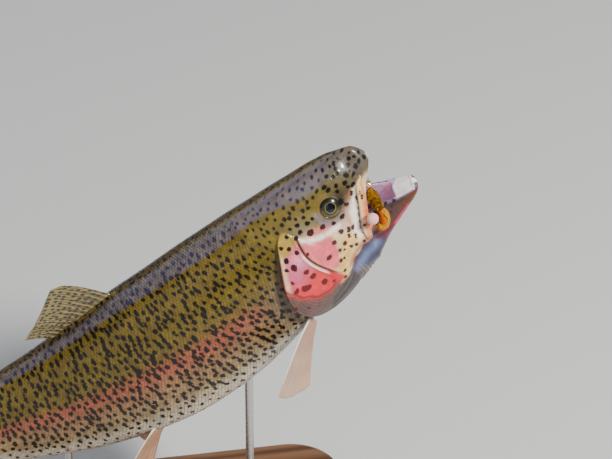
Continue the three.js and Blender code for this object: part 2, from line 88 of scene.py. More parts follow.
COVER_OUTLINE = [[66, 20], [69, 29], [76, 29], [86, 21], [97, 8], [104, -5], [106.5, -18],
                 [102, -31], [93, -39], [82, -44], [71, -43.5], [66, -35], [63, -18], [62.5, 3]]
DORSAL = dict(s=(204, 262), long=(40, 47, 23), peak=0.1, fall=0.9, lean=(38, 58), sunk=5)
ADIPOSE = dict(s=(350, 363), long=(12, 19, 4), peak=0.35, fall=1, lean=(48, 60), sunk=4)
ANAL = dict(s=(320, 358), long=(36, 42, 23), peak=0.12, fall=0.9, lean=(28, 48), sunk=4)
TAIL = dict(half=21, spread=33, long=69, fork=14, sunk=6)
PECTORAL = dict(s=112, z=-41, y=22, base=14, long=66, fan=46, back=0.72, down=0.26, out=0.6)
PELVIC = dict(s=238, z=-49, y=13, base=11, long=52, fan=42, back=0.78, down=0.48, out=0.36)
FLY_BEAD = dict(at=(12.8, -6.8, -6.4), radius=2.7)
FLY_BODY = dict(path=[(14.8, -8.4, -8.6), (16.6, -9.8, -11.4), (18.2, -12.8, -14.7),
                      (18.9, -17.6, -16.8)],
                radii=(3, 4, 3.9, 2.6))
FLY_TAIL = dict(path=[(19.3, -19.4, -19.4), (20.4, -20.8, -22.6), (23, -21.8, -25.6),
                      (26.6, -22.6, -27.2), (28.8, -23.4, -25.6), (28.2, -24.2, -23)],
                radii=(2.4, 3.4, 3.4, 3.2, 2.5, 1.3))
FLY_EGG = dict(at=(25.2, -26.2, -15.1), radius=4.1)

# ------------------------------------------------------------------ curves and the bend


def curve(knots):
    """A smooth curve through the knots that never overshoots them."""
    x, y = np.array(knots, float).T
    h = np.diff(x)
    d = np.diff(y) / h
    m = np.concatenate([[d[0]], np.zeros(len(x) - 2), [d[-1]]])
    a, b = d[:-1], d[1:]
    same = a * b > 0
    total = 3 * (h[:-1] + h[1:])
    safe_a, safe_b = np.where(same, a, 1), np.where(same, b, 1)
    mean = total / ((2 * h[1:] + h[:-1]) / safe_a + (h[1:] + 2 * h[:-1]) / safe_b)
    m[1:-1] = np.where(same, mean, 0)

    def value(q):
        q = np.clip(q, x[0], x[-1])
        i = np.clip(np.searchsorted(x, q, "right") - 1, 0, len(x) - 2)
        t = (q - x[i]) / h[i]
        t2, t3 = t * t, t * t * t
        return ((2 * t3 - 3 * t2 + 1) * y[i] + (t3 - 2 * t2 + t) * h[i] * m[i]
                + (3 * t2 - 2 * t3) * y[i + 1] + (t3 - t2) * h[i] * m[i + 1])

    return value


top, belly, half_width, widest = curve(TOP), curve(BELLY), curve(HALF_WIDTH), curve(WIDEST_Z)
belly_round, pitch, yaw = curve(BELLY_ROUND), curve(PITCH_DEG), curve(YAW_DEG)
jaw_width, jaw_under = curve(JAW_HALF_WIDTH), curve(JAW_UNDERSIDE)
cavity_width, cavity_roof, cavity_floor = (curve([[r[0], r[k]] for r in CAVITY]) for k in (1, 2, 3))
upper_edge = curve(UPPER_EDGE)


def look_up(table, s):
    """Straight lines through the table's (s, value) rows."""
    return np.interp(s, *np.transpose(table))


def forward_at(s):
    """The spine's direction, towards the snout."""
    p, w = np.radians(pitch(s)), np.radians(yaw(s))
    return np.stack([np.cos(p) * np.cos(w), np.cos(p) * np.sin(w), np.sin(p)], -1)


SPINE = np.vstack([SNOUT_AT, np.array(SNOUT_AT) - np.cumsum(forward_at(np.arange(520) + 0.5), 0)])


def bend(s, y, z):
    """Points of the straight body, in mm, as points of the curved one, in metres."""
    s, y, z = np.broadcast_arrays(np.asarray(s, float), y, z)
    i = np.clip(np.floor(s).astype(int), 0, len(SPINE) - 2)
    ahead = forward_at(s)
    left = np.stack([-ahead[..., 1], ahead[..., 0], np.zeros_like(s)], -1)
    left = unit(left)
    up = np.cross(ahead, left)
    on = SPINE[i] + (SPINE[i + 1] - SPINE[i]) * (s - i)[..., None]
    return (on + left * y[..., None] + up * z[..., None]) / 1000


def unit(v):
    return v / np.maximum(np.linalg.norm(v, axis=-1, keepdims=True), 1e-9)


def ramp(x, a, b):
    """A smooth step from 0 at a to 1 at b."""
    t = np.clip((x - a) / (b - a), 0, 1)
    return t * t * (3 - 2 * t)


def fade(x, a, b):
    return 1 - ramp(x, a, b)


def smin(a, b, k):
    """The smaller value, blended where the two differ by less than k."""
    h = np.clip(0.5 + 0.5 * (b - a) / k, 0, 1)
    return b + (a - b) * h - k * h * (1 - h)


def smax(a, b, k):
    return -smin(-a, -b, k)


def bump(x, width):
    """1 at x = 0, falling off on both sides."""
    return np.exp(-((x / width) ** 2))


def catmull(points, count, closed=False):
    """Points on a smooth line through these points."""
    p = np.array(points, float)
    p = np.vstack([p[-1], p, p[:2]]) if closed else np.vstack([2 * p[0] - p[1], p, 2 * p[-1] - p[-2]])
    spans = len(p) - 3
    q = np.linspace(0, spans, count, endpoint=not closed)
    i = np.minimum(q.astype(int), spans - 1)
    t = (q - i)[:, None]
    a, b, c, d = p[i], p[i + 1], p[i + 2], p[i + 3]
    return 0.5 * (2 * b + (c - a) * t + (2 * a - 5 * b + 4 * c - d) * t ** 2
                  + (3 * b - a - 3 * c + d) * t ** 3)


def line_distance(points, s, z):
    """Distance from (s, z) to a line, how far along it (0 to 1) that is, and on which side."""
    p = np.array(points, float)
    best = np.full(s.shape, 1e9)
    along, side = np.zeros(s.shape), np.ones(s.shape)
    for i in range(len(p) - 1):
        d = p[i + 1] - p[i]
        t = np.clip(((s - p[i, 0]) * d[0] + (z - p[i, 1]) * d[1]) / (d @ d), 0, 1)
        ds, dz = s - p[i, 0] - t * d[0], z - p[i, 1] - t * d[1]
        r = np.hypot(ds, dz)
        near = r < best
        best = np.where(near, r, best)
        along = np.where(near, (i + t) / (len(p) - 1), along)
        side = np.where(near, np.sign(d[0] * dz - d[1] * ds), side)
    return best, along, side


def polygon_distance(points, s, z):
    """Signed distance to a closed outline in the side view, negative inside."""
    p = np.array(points, float)
    best = np.full(s.shape, 1e9)
    inside = np.zeros(s.shape, bool)
    for a, b in zip(p, np.roll(p, -1, 0)):
        d = b - a
        t = np.clip(((s - a[0]) * d[0] + (z - a[1]) * d[1]) / max(d @ d, 1e-9), 0, 1)
        best = np.minimum(best, np.hypot(s - a[0] - t * d[0], z - a[1] - t * d[1]))
        if a[1] != b[1]:
            crosses = (a[1] > z) != (b[1] > z)
            inside ^= crosses & (s < a[0] + (z - a[1]) * d[0] / d[1])
    return np.where(inside, -best, best)


# ------------------------------------------------------------------ fields of the body's shapes

NOSTRILS = ((15.2, 20.4), (18.4, 21.8))
SKIRT_PITCH = 2.3  # mm between the folds of the skin under the gill cover
PAD_END, PAD_TILT = 10.4, 0.12  # hind edge of the white pad in the lower jaw
VENT_S = 314
BODY_END = 453.5
HEAD_GRID_END = 118  # the grid's part that holds the head's shapes
HEAD_PAINT_END = 114
NO_SPOT = 9.0  # mm; farther from a spot than any paint reaches
COVER_EDGE = catmull(COVER_OUTLINE, 90, closed=True)
COVER_FLARE = dict(start=64, end=104, front=0.8, hind=7.3)
COVER_PLATE = 2.0
SKIN_INSET = 0.2
COAT_DEPTH = 0.55


def cover_flare(s):
    """How far (mm) the gill cover stands off the body."""
    f = COVER_FLARE
    return f["front"] + (f["hind"] - f["front"]) * ramp(s, f["start"], f["end"])


def radial(y, z, width, upper, lower, middle, power):
    """Distance outwards from a superellipse section, measured along the line from its middle."""
    v = np.where(z > middle, (z - middle) / (upper - middle), (middle - z) / (middle - lower))
    rho = (np.abs(y / width) ** power + v ** power) ** (1 / power)
    r = np.hypot(y, z - middle)
    return r - r / np.maximum(rho, 1e-3)


def body_field(s, y, z):
    middle = widest(s)
    power = np.where(z > middle, TOP_ROUND, belly_round(s))
    return radial(y, z, half_width(s), top(s), belly(s), middle, power)


def cavity_field(s, y, z):
    roof, floor = cavity_roof(s), cavity_floor(s)
    d = radial(y, z, cavity_width(s), roof, floor, (roof + floor) / 2, 2.6)
    return smax(d, s - 70, 3)


def jaw_field(s, y, z):
    width = jaw_width(s)
    under = radial(y, z, width, 2, jaw_under(s), -36, 2.4)
    return np.where(z < -36, under, np.abs(y) - width)


def eye_frame(sign):
    """Centre and axes (ahead, out, up) of an eye on the straight body, as (x, y, z) with x = -s."""
    turn = Euler((sign * EYE["roll"], 0, -sign * EYE["turn"])).to_matrix()
    centre = np.array([-EYE["s"], sign * (float(half_width(EYE["s"])) - EYE["set"]), EYE["z"]])
    axes = np.array(turn).T
    return centre, axes[0], axes[1] * sign, axes[2]


# ------------------------------------------------------------------ the skin's field on a grid

FINE, TRUNK_STEP = 0.55, 1.7  # mm between the grid's points, on the head and at most behind it


def grid_axes():
    """The grid's places along s, y and z; the steps along s grow behind the head."""
    s = list(np.arange(-7, 112, FINE))
    step = FINE
    while s[-1] < BODY_END + 3.5:
        step = min(step * 1.04, TRUNK_STEP)
        s.append(s[-1] + step)
    return np.array(s), np.arange(0, 42.5, FINE), np.arange(-64, 68, FINE)


PREOPERCLE = [[65, 22], [67.2, 18.5], [69.5, 14.4], [72.2, 9], [73.6, 3], [73.6, -5], [72.6, -14],
              [72, -21], [70, -29]]
CRESCENT = [[67, 19.5], [64, 14], [60, 8.5], [54, 4], [49, 1.5], [44, -0.5]]
SUBOPERCLE = [[75, -26], [84, -27.5], [94, -24], [104, -15]]
INTEROPERCLE = [[60, -27], [68, -33], [78, -36], [90, -35]]
CHEEK_FOLD = [[53, 3], [58, -6], [60, -15], [59, -24]]
BROW = [[20, 21], [28, 24.5], [38, 25.5], [48, 23.5], [56, 19]]
UNDER_EYE = [[27, 4], [33, 0], [40, -1], [47, 3], [50, 10]]
CHEEK_GROOVE = [[14, 4.5], [19, 0], [26, -5.5], [33, -11.5], [40, -20], [45.5, -28]]


def side_relief(s, z):
    """Depth (mm, inwards) of the lines and folds on the side of the head."""
    relief = np.zeros(s.shape)
    d, along, side = line_distance(catmull(PREOPERCLE, 30), s, z)
    ends = ramp(along, 0, 0.12) * fade(along, 0.85, 1)
    behind = d * side
    relief += ends * (1.15 * bump(behind, 0.75) - 0.75 * bump(behind - 1.7, 1.1)
                      - 0.5 * bump(behind + 1.9, 1.2))
    for line, depth, width in ((SUBOPERCLE, 0.3, 0.8), (INTEROPERCLE, 0.5, 0.9),
                               (CHEEK_FOLD, 0.22, 1.1), (UNDER_EYE, 0.3, 0.9),
                               (CHEEK_GROOVE, 0.45, 0.7), (CRESCENT, -0.28, 1.4)):
        d, along, _ = line_distance(catmull(line, 16), s, z)
        relief += depth * bump(d, width) * ramp(along, 0, 0.15) * fade(along, 0.85, 1)
    d, along, _ = line_distance(catmull(BROW, 12), s, z)
    relief -= 0.35 * bump(d, 2.2)
    ring = np.hypot(s - EYE["s"], z - EYE["z"])
    relief += 0.35 * bump(ring - 9.6, 0.9) - 0.3 * bump(ring - 7.6, 1.1)
    d = polygon_distance(COVER_EDGE, s, z)
    fan = ramp(d, 0.6, 1.6) * fade(d, 10, 13) * ramp(-z, 30, 36) * ramp(s, 54, 62)
    relief += 0.38 * fan * np.cos(2 * math.pi * d / SKIRT_PITCH)
    relief += 0.2 * bump(d + 2.2, 0.8) * ramp(s, 76, 82)
    for s0, z0 in NOSTRILS:
        relief += 1.5 * bump(np.hypot((s - s0) * 1.1, z - z0), 0.95)
        relief -= 0.35 * bump(np.hypot(s - s0, z - z0) - 1.7, 0.6)
    return relief


def pad_edge(y):
    """s of the hind edge of the white pad inside the lower jaw's tip."""
    return PAD_END - PAD_TILT * np.abs(y)


def pad_height(s, y):
    """z of the white pad's top: just above the lip's rim, and fuller in the middle."""
    rim = -34.2 + 0.62 * np.clip(s + 1, 0, 14)
    return rim + 0.3 - 1.1 * (1 - np.minimum(np.abs(y) / jaw_width(s), 1) ** 2) * ramp(s, 2, 12)


def skin_field():
    """The skin's distance field over half the fish, and the grid's axes."""
    axis_s, axis_y, axis_z = grid_axes()
    s3, y3, z3 = np.ix_(axis_s, axis_y, axis_z)
    body = body_field(s3, y3, z3)
    ds, dy, dz = np.gradient(body, axis_s, axis_y, axis_z)
    body = body / np.sqrt(ds ** 2 + dy ** 2 + dz ** 2).clip(0.6, 1.6)
    body = body.astype(np.float32)
    nape = ramp(s3, 88, 104)
    inset = SKIN_INSET + (COAT_DEPTH - SKIN_INSET) * nape
    n = int(np.searchsorted(axis_s, HEAD_GRID_END))
    head = head_field(axis_s[:n], axis_y, axis_z, body[:n] + inset[:n], body[:n])
    trunk = body[n:] + inset[n:]
    trunk = smax(trunk, s3[n:] - BODY_END, 2)
    trunk = add_trunk_parts(axis_s[n:], axis_y, axis_z, trunk)
    return np.concatenate([head, trunk]).astype(np.float32), axis_s, axis_y, axis_z


def head_field(axis_s, axis_y, axis_z, body, shell):
    """The head with its mouth, lips, gill covers and eye sockets, smoothly joined."""
    s3, y3, z3 = np.ix_(axis_s, axis_y, axis_z)
    s2, z2 = np.meshgrid(axis_s, axis_z, indexing="ij")

    def flat(field2):
        return field2[:, None, :]

    gape = flat(polygon_distance(UPPER_EDGE + JAW_SPLIT + [[-14, -70]], s2, z2))
    rim = (LOWER_RIM + [p for p in UPPER_EDGE if p[0] >= 30] + JAW_SPLIT
           + [[120, -70], [120, 90], [-14, 90]])
    above_rim = flat(polygon_distance(rim, s2, z2))
    side = ramp(y3, 5, 11)
    relief = flat(side_relief(s2, z2)) * side

    low_crown = (2.0 * bump(s3 - 3.8, 7) - 0.8 * bump(s3 + 3.6, 3.2)) * ramp(z3, 8, 20)
    block = smax(body, -4.4 - s3 + 0.015 * (z3 - 13) ** 2, 4) + relief + low_crown
    upper = smax(block, -gape, 1.4)
    jaw = smax(jaw_field(s3, y3, z3) + 0.25, -above_rim, 1.1)
    jaw = smax(jaw, -4.2 - s3, 1.5)
    d = smin(upper, jaw, 1.6)

    # the mouth's room, its lips and the tongue
    cavity = cavity_field(s3, y3, z3)
    folds = 0.28 * np.cos(z3 * 1.9 + 0.05 * s3) * ramp(s3, 14, 26) * ramp(y3, 3, 8)
    d = smax(d, -(cavity + folds), 1.0)
    tongue_w = np.interp(s3, [p[0] for p in TONGUE_PATH], TONGUE_HALF_WIDTH)
    tongue_z = look_up(TONGUE_PATH, s3)
    tongue = (np.hypot(y3 / tongue_w, (z3 - tongue_z) / (tongue_w * 0.55)) - 1) * tongue_w * 0.6
    tongue = smax(tongue, 8.4 - s3, 1.5)
    tongue = smax(tongue, s3 - 50, 3)
    d = smin(d, tongue + 0.25, 0.8)
    pad = smax(jaw_field(s3, y3, z3) + 0.9, z3 - pad_height(s3, y3), 1.0)
    pad = smax(pad, s3 - pad_edge(y3), 0.5)
    pad = smax(pad, -2.8 - s3, 1.0)
    d = smin(d, pad, 0.7)

    bed = z3 - pad_height(PAD_END, y3) + 0.3
    bed = smax(jaw_field(s3, y3, z3) + 0.9, smax(bed, np.abs(s3 - 18) - 8.5, 1.0), 1.0)
    d = smin(d, bed, 1.2)

    # the upper lip's long bone
    lip_y = half_width(s3) + 0.25
    d = smin(d, lip_field(s2, z2, y3, lip_y), 0.55)

    # the gill cover stands off the body behind and has room under it
    outer = shell - cover_flare(s3) + SKIN_INSET + relief
    outline = flat(polygon_distance(COVER_EDGE, s2, z2))
    thick = COVER_PLATE + 0.6 * ramp(-outline, 2, 12)
    plate = smax(smax(outer, -(outer + thick), 0.5), outline, 0.9)
    plate = smax(plate, 6 - y3, 1)
    d = smin(d, plate, 0.9)

    # socket of the eye
    centre, ahead, out, up = eye_frame(1)
    dx, dyy, dzz = -s3 - centre[0], y3 - centre[1], z3 - centre[2]
    a = ahead[0] * dx + ahead[1] * dyy + ahead[2] * dzz
    o = out[0] * dx + out[1] * dyy + out[2] * dzz
    u = up[0] * dx + up[1] * dyy + up[2] * dzz
    across = np.hypot(a, u)
    hole = np.maximum(across - (6.5 + 0.25 * np.maximum(o - 2, 0)), -(o + 3.5))
    d = smax(d, -hole, 0.7)
    return d


def lip_radius(along):
    return np.interp(along, np.linspace(0, 1, len(LIP_RADIUS)), LIP_RADIUS)


def lip_field(s2, z2, y3, lip_y):
    """The flattened bone along the upper jaw's edge, with a groove down its length."""
    d, along, side = line_distance(catmull(LIP_PATH, 22), s2, z2)
    r = lip_radius(along)
    groove = 0.35 * bump(d * side - 0.9, 0.6) * ramp(along, 0.1, 0.3)
    thick = r * 0.42
    out = (np.abs(y3) - lip_y) / thick[:, None, :]
    reach = np.sqrt((d / r)[:, None, :] ** 2 + out ** 2)
    return (reach - 1) * thick[:, None, :] + groove[:, None, :]


def add_trunk_parts(axis_s, axis_y, axis_z, trunk):
    """The soft fin near the tail, the swellings under the fins and the vent."""
    s3, y3, z3 = np.ix_(axis_s, axis_y, axis_z)
    s2, z2 = np.meshgrid(axis_s, axis_z, indexing="ij")
    u, v = np.linspace(0, 1, 11), np.linspace(0, 1, 7)
    border = [(0.0, q) for q in v] + [(q, 1.0) for q in u[1:]] + [(1.0, q) for q in v[::-1][1:]]
    edge = [median_point(ADIPOSE, 1, *place)[:2] for place in border]
    sail = polygon_distance(edge, s2, z2)[:, None, :]
    height = np.clip((z3 - top(s3)) / 15, 0, 1)
    fin = smax(sail + 0.4, y3 - (1.9 - 1.1 * height), 1.0)
    trunk = smin(trunk, fin, 2.2)
    mid_d = (y3 - 1.6) + np.maximum(np.maximum(206 - s3, s3 - 262), 0)
    ridge = smax(mid_d, np.abs(z3 - top(s3) + 4) - 4.8, 1.2)
    trunk = smin(trunk, ridge, 2.5)
    mid_a = (y3 - 1.5) + np.maximum(np.maximum(322 - s3, s3 - 357), 0)
    keel = smax(mid_a, np.abs(z3 - belly(s3) - 4) - 4.8, 1.2)
    trunk = smin(trunk, keel, 2.5)
    vent = np.hypot(np.hypot((s3 - VENT_S) * 0.7, y3 * 1.3), z3 - belly(s3) - 0.6) - 1.9
    return smin(trunk, vent, 1.6)


# ------------------------------------------------------------------ fins as surfaces


def rise(u, peak):
    return np.minimum(1, u / peak)


def lerp(a, b, t):
    return a + (b - a) * t


def median_point(f, side, u, v):
    """(s, z, y) on a fin of the middle plane."""
    s = lerp(*f["s"], u)
    first, longest, fall_by = f["long"]
    reach = v * (lerp(first, longest, rise(u, f["peak"])) - fall_by * u ** f["fall"] + f["sunk"])
    a = np.radians(lerp(*f["lean"], u) + 10 * v * v)
    root = top(s) - f["sunk"] if side > 0 else belly(s) + f["sunk"]
    return s + reach * np.sin(a), root + side * reach * np.cos(a), np.zeros_like(s + reach)


def tail_point(u, v):
    t = 2 * u - 1
    a = np.radians(TAIL["spread"] * t)
    long = TAIL["long"] - TAIL["fork"] * (1 - np.abs(t) ** 1.5) - 3 * np.abs(t) ** 6
    curl = 1 + 0.12 * v * v
    s = STALK_END - TAIL["sunk"] + v * long * np.cos(a)
    return s, t * TAIL["half"] + v * long * np.sin(a) * curl, np.zeros_like(t + v)


def paired_frame(sign, f):
    """Directions along, across and square to a pectoral or pelvic fin."""
    axis = unit(np.array([-f["back"], sign * f["out"], -f["down"]]))
    spread = unit(np.array([-0.35, -sign * 0.35, -0.87]))
    spread = unit(spread - axis * (spread @ axis))
    return axis, spread, unit(np.cross(axis, spread))


def paired_point(sign, f, u, v):
    """(s, z, y) on a pectoral or pelvic fin."""
    axis, spread, normal = paired_frame(sign, f)
    t = u - 0.5
    a = np.radians(f["fan"] * t)
    reach = f["long"] * (1 - 0.34 * u - 0.22 * (1 - rise(u, 0.12))) * v + 0.001
    p = (np.array([-f["s"], sign * f["y"], f["z"]])
         + spread * (f["base"] * t + reach * np.sin(a))[..., None]
         + axis * (reach * np.cos(a) - 4)[..., None]
         + normal * (-sign * 3.5 * v * v)[..., None])
    return -p[..., 0], p[..., 2], p[..., 1]


# ------------------------------------------------------------------ making objects


def mesh_object(name, points, faces, smooth=True):
    """A new object from (n, 3) points and an (m, 3) or (m, 4) array of corners, or a list of both."""
    groups = faces if isinstance(faces, list) else [faces]
    groups = [np.asarray(g, np.int32) for g in groups if len(g)]
    mesh = bpy.data.meshes.new(name)
    mesh.vertices.add(len(points))
    mesh.vertices.foreach_set("co", np.asarray(points, np.float32).ravel())
    sizes = np.concatenate([np.full(len(g), g.shape[1], np.int32) for g in groups])
    corners = np.concatenate([g.ravel() for g in groups])
    mesh.loops.add(len(corners))
    mesh.loops.foreach_set("vertex_index", corners)
    mesh.polygons.add(len(sizes))
    starts = np.concatenate([[0], np.cumsum(sizes)[:-1]]).astype(np.int32)
    mesh.polygons.foreach_set("loop_start", starts)
    mesh.polygons.foreach_set("use_smooth", np.full(len(sizes), smooth))
    mesh.update(calc_edges=True)
    mesh.validate()
    obj = bpy.data.objects.new(name, mesh)
    bpy.context.collection.objects.link(obj)
    return obj


def grid_quads(rows, columns, ring=False):
    """Corners of the quads between a grid's points; ring joins each row's end to its start."""
    i, k = np.meshgrid(np.arange(rows - 1), np.arange(columns - (not ring)), indexing="ij")
    a, b = i * columns + k, i * columns + (k + 1) % columns
    return np.stack([a, b, b + columns, a + columns], -1).reshape(-1, 4)


def set_attribute(obj, name, values):
    """A number, vector or colour for each vertex."""
    values = np.asarray(values, np.float32)
    kinds = {1: ("FLOAT", "value"), 3: ("FLOAT_VECTOR", "vector"), 4: ("FLOAT_COLOR", "color")}
    kind, field = kinds[1 if values.ndim == 1 else values.shape[1]]
    layer = obj.data.attributes.new(name, kind, "POINT")
    layer.data.foreach_set(field, values.ravel())


def own(obj, material, slot, *nodes):
    """Gives a piece its material and body, and hides the nodes it replaces; slot is not used."""
    obj.data.materials.append(material)
    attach(obj, "root")
    if nodes:
        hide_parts(*nodes)


def coords(obj):
    out = np.empty(len(obj.data.vertices) * 3, np.float32)
    obj.data.vertices.foreach_get("co", out)
    return out.reshape(-1, 3)


# ------------------------------------------------------------------ colours and spots


def srgb(r, g, b):
    c = np.array([r, g, b], float) / 255
    return np.where(c <= 0.04045, c / 12.92, ((c + 0.055) / 1.055) ** 2.4)


def linear(rgb):
    return tuple(srgb(*rgb))


def plain(rgb, count):
    return np.tile(srgb(*rgb), (count, 1))


def wash(colour, rgb, amount):
    """Moves each point's colour towards one sRGB colour."""
    return colour + (srgb(*rgb) - colour) * np.clip(amount, 0, 1)[:, None]


def arc_tables():
    """For each mm of s, the arc length from the widest point up to the back and down to the belly."""
    s = np.arange(-4, 455, 1.0)
    angle = np.linspace(0, math.pi / 2, 60)
    rows = []
    for sign in (1, -1):
        power = 2 / (TOP_ROUND if sign > 0 else belly_round(s)[:, None])
        reach = (top(s) - widest(s)) if sign > 0 else (widest(s) - belly(s))
        y = half_width(s)[:, None] * np.cos(angle) ** power
        z = reach[:, None] * np.sin(angle) ** power
        step = np.hypot(np.diff(y, axis=1), np.diff(z, axis=1))
        rows.append((y, z, np.hstack([np.zeros((len(s), 1)), np.cumsum(step, 1)])))
    return s, rows


ARC_S, ARC = arc_tables()
ARC_ANGLE = np.linspace(0, 1, 60)


def side_arc(s, y, z):
    """Signed arc length (mm) of a point's direction round the section: up is positive."""
    middle = widest(s)
    out = np.zeros(len(s))
    row = np.clip(s - ARC_S[0], 0, len(ARC_S) - 1.001)
    i = row.astype(int)
    for sign, (_, zs, arc) in zip((1, -1), ARC):
        here = (z > middle) if sign > 0 else (z <= middle)
        reach = (top(s) - middle) if sign > 0 else (middle - belly(s))
        power = TOP_ROUND if sign > 0 else belly_round(s)
        u = np.abs(y) / half_width(s)
        v = np.abs(z - middle) / reach
        rho = np.maximum((u ** power + v ** power) ** (1 / power), 1e-3)
        angle = np.arcsin(np.clip((v / rho) ** (power / 2), 0, 1)) / (math.pi / 2)
        t = angle * (len(ARC_ANGLE) - 1)
        k = np.clip(t.astype(int), 0, len(ARC_ANGLE) - 2)
        value = arc[i, k] + (arc[i, k + 1] - arc[i, k]) * (t - k)
        out = np.where(here, sign * value, out)
    return out


def surface_at(s, t):
    """(y, z) on the body's section at arc length t up (or down) the side; y >= 0."""
    row = np.clip(s - ARC_S[0], 0, len(ARC_S) - 1.001)
    i = row.astype(int)
    y, z = np.zeros(len(s)), np.zeros(len(s))
    for sign, (ys, zs, arc) in zip((1, -1), ARC):
        here = np.flatnonzero((t >= 0) if sign > 0 else (t < 0))
        rows = arc[i[here]]
        want = np.minimum(np.abs(t[here]), rows[:, -1] - 1e-6)
        k = np.clip((rows <= want[:, None]).sum(1) - 1, 0, rows.shape[1] - 2)
        at = np.arange(len(here))
        f = (want - rows[at, k]) / (rows[at, k + 1] - rows[at, k])
        y[here] = lerp(ys[i[here], k], ys[i[here], k + 1], f)
        z[here] = sign * lerp(zs[i[here], k], zs[i[here], k + 1], f)
    return y, z + widest(s)


def arc_limits(s):
    """Arc length from the widest point to the back, and to the belly."""
    up = np.interp(s, ARC_S, ARC[0][2][:, -1])
    down = np.interp(s, ARC_S, ARC[1][2][:, -1])
    return up, down


# s, z, half length along s, half length along z
FACE_SPOTS = [
    (83.5, 9.5, 1.9, 3.2), (81, 0, 2.1, 1.7), (81, -6, 2.2, 1.8), (90.6, -6.6, 2.2, 2.5),
    (88.4, -8.4, 2.3, 1.9), (80, -16, 2, 2.2), (74, 14, 1.7, 1.7), (83, 17, 1.8, 2.1),
    (95, -3, 2, 1.5), (65, -8, 2.3, 1.7), (55, -5, 1.9, 1.7), (52, -12.2, 1.7, 1.6),
    (51.8, -17.8, 1.2, 1.5), (49, -20.4, 1.3, 1.5), (58, -12, 1.5, 1.2), (56, -14.6, 1, 0.9),
    (63.6, -17, 1.4, 1.4), (57.6, 13.7, 2.6, 2.2), (49.8, 8.7, 2, 1.7), (46.4, -4.8, 2, 1.8),
    (41.8, -8.2, 1.2, 1.1), (43.3, -9.4, 1.2, 1.1), (45.6, -11.3, 1.1, 1), (46.7, -12.3, 1, 1),
    (39.3, -9.8, 1.1, 1), (40.5, -11, 1.1, 1), (43.5, -15.5, 1, 1), (44.7, -16.5, 1, 0.9),
    (44, 3.2, 1.4, 1.5), (37, 0.8, 2.1, 1.8), (28.5, 3.4, 1.4, 2), (19.7, 5.2, 1, 1),
    (20.9, 4.4, 1, 0.9), (21.1, 0.3, 0.9, 0.9), (22.2, -0.7, 0.9, 0.9), (44.5, -23.8, 1.4, 1.4),
    (34, -16.4, 1.2, 1.3), (16.6, 0.7, 0.8, 0.8), (17.7, -0.2, 0.8, 0.8), (18.4, -2.4, 0.8, 0.7),
    (19.4, -3.3, 0.8, 0.7), (15.2, 7, 1.9, 1.4), (28.6, 8, 2.1, 2.3), (58, 24, 1.5, 1.4),
    (61, 20, 1.7, 1.6), (53.2, 19.2, 1.7, 1.6), (66, 20, 1.5, 1.5), (69, 26, 1.5, 1.4),
    (75, 20, 1.6, 1.6), (78, 25, 1.5, 1.4), (63.4, 26.6, 1.2, 1.4), (55.5, 27.4, 1.3, 1.2),
    (48.2, 26.4, 1.4, 1.4), (51.6, 23.6, 1.3, 1.2), (57.6, 31, 1.3, 1.2), (64.2, 32.2, 1.4, 1.3),
    (71.5, 32, 1.4, 1.3), (44.5, 24.5, 1.4, 1.2), (48.6, 18, 1.3, 1.4), (42, 27, 1.5, 1.2),
    (36.8, 25.9, 1.4, 1.2), (32, 26, 1.5, 1.3), (27, 23.4, 1.5, 1.4), (27, 20, 1.8, 1.4),
    (24.4, 14.4, 1.4, 1.4), (21.6, 17, 1.6, 1.3), (17.2, 12.8, 1.7, 1.7), (12.4, 14.8, 1.7, 1.8),
    (9.8, 10.4, 2, 1.3), (7.2, 16.2, 1.6, 1.4), (5, 11.4, 1.7, 1.4), (1.2, 10.8, 1.5, 1.2),
    (4, 17.6, 1.5, 1.5), (-2, 8.4, 1.1, 1.4), (-2.6, 13.8, 1.2, 1.2), (3.8, 21.6, 1.5, 1.3),
    (7.8, 22.6, 1.4, 1.6), (10.4, 25.6, 1.4, 1.3), (14.2, 26.8, 1.4, 1.2), (0.6, 19.4, 1.6, 1.1),
    (0.8, 15.4, 1.2, 1.2), (13, 23.2, 1.3, 1.2), (9.4, 13.6, 1, 1), (20.6, 25.4, 1.4, 1.3),
    (18, 9.6, 1.1, 1.3), (99, -20, 1.4, 2.2), (68, -24.6, 1.3, 1.1), (88, 13, 1.4, 1.6),
    (72, -28.4, 1.2, 1), (76.6, -22, 1.2, 1.1), (70.6, 7, 1.2, 1.3), (92.4, 3.6, 1.2, 1.7),
    (61, -18.6, 1, 1), (8, -29.6, 1.5, 0.9), (12, -26.6, 1.7, 0.9), (16.6, -22.8, 1.6, 0.9),
    (11, -31.4, 1.3, 0.8), (16, -27.6, 1.6, 1), (21.6, -23, 1.5, 1.1), (19.6, -30, 1.2, 0.8),
    (26, -27.6, 1.4, 0.9), (4.4, -31.6, 1.3, 0.8), (31, -25.6, 1.2, 0.9), (24.8, -20, 1.2, 0.8),
]


# the face's spots are the listed ones up to this line, (s, z)
FACE_TOP = [[0, 25], [12, 25], [24, 27], [40, 29], [62, 33], [70, 35], [82, 29], [92, 18], [102, 6],
            [112, -60]]
SPOT_TRIES = 30000


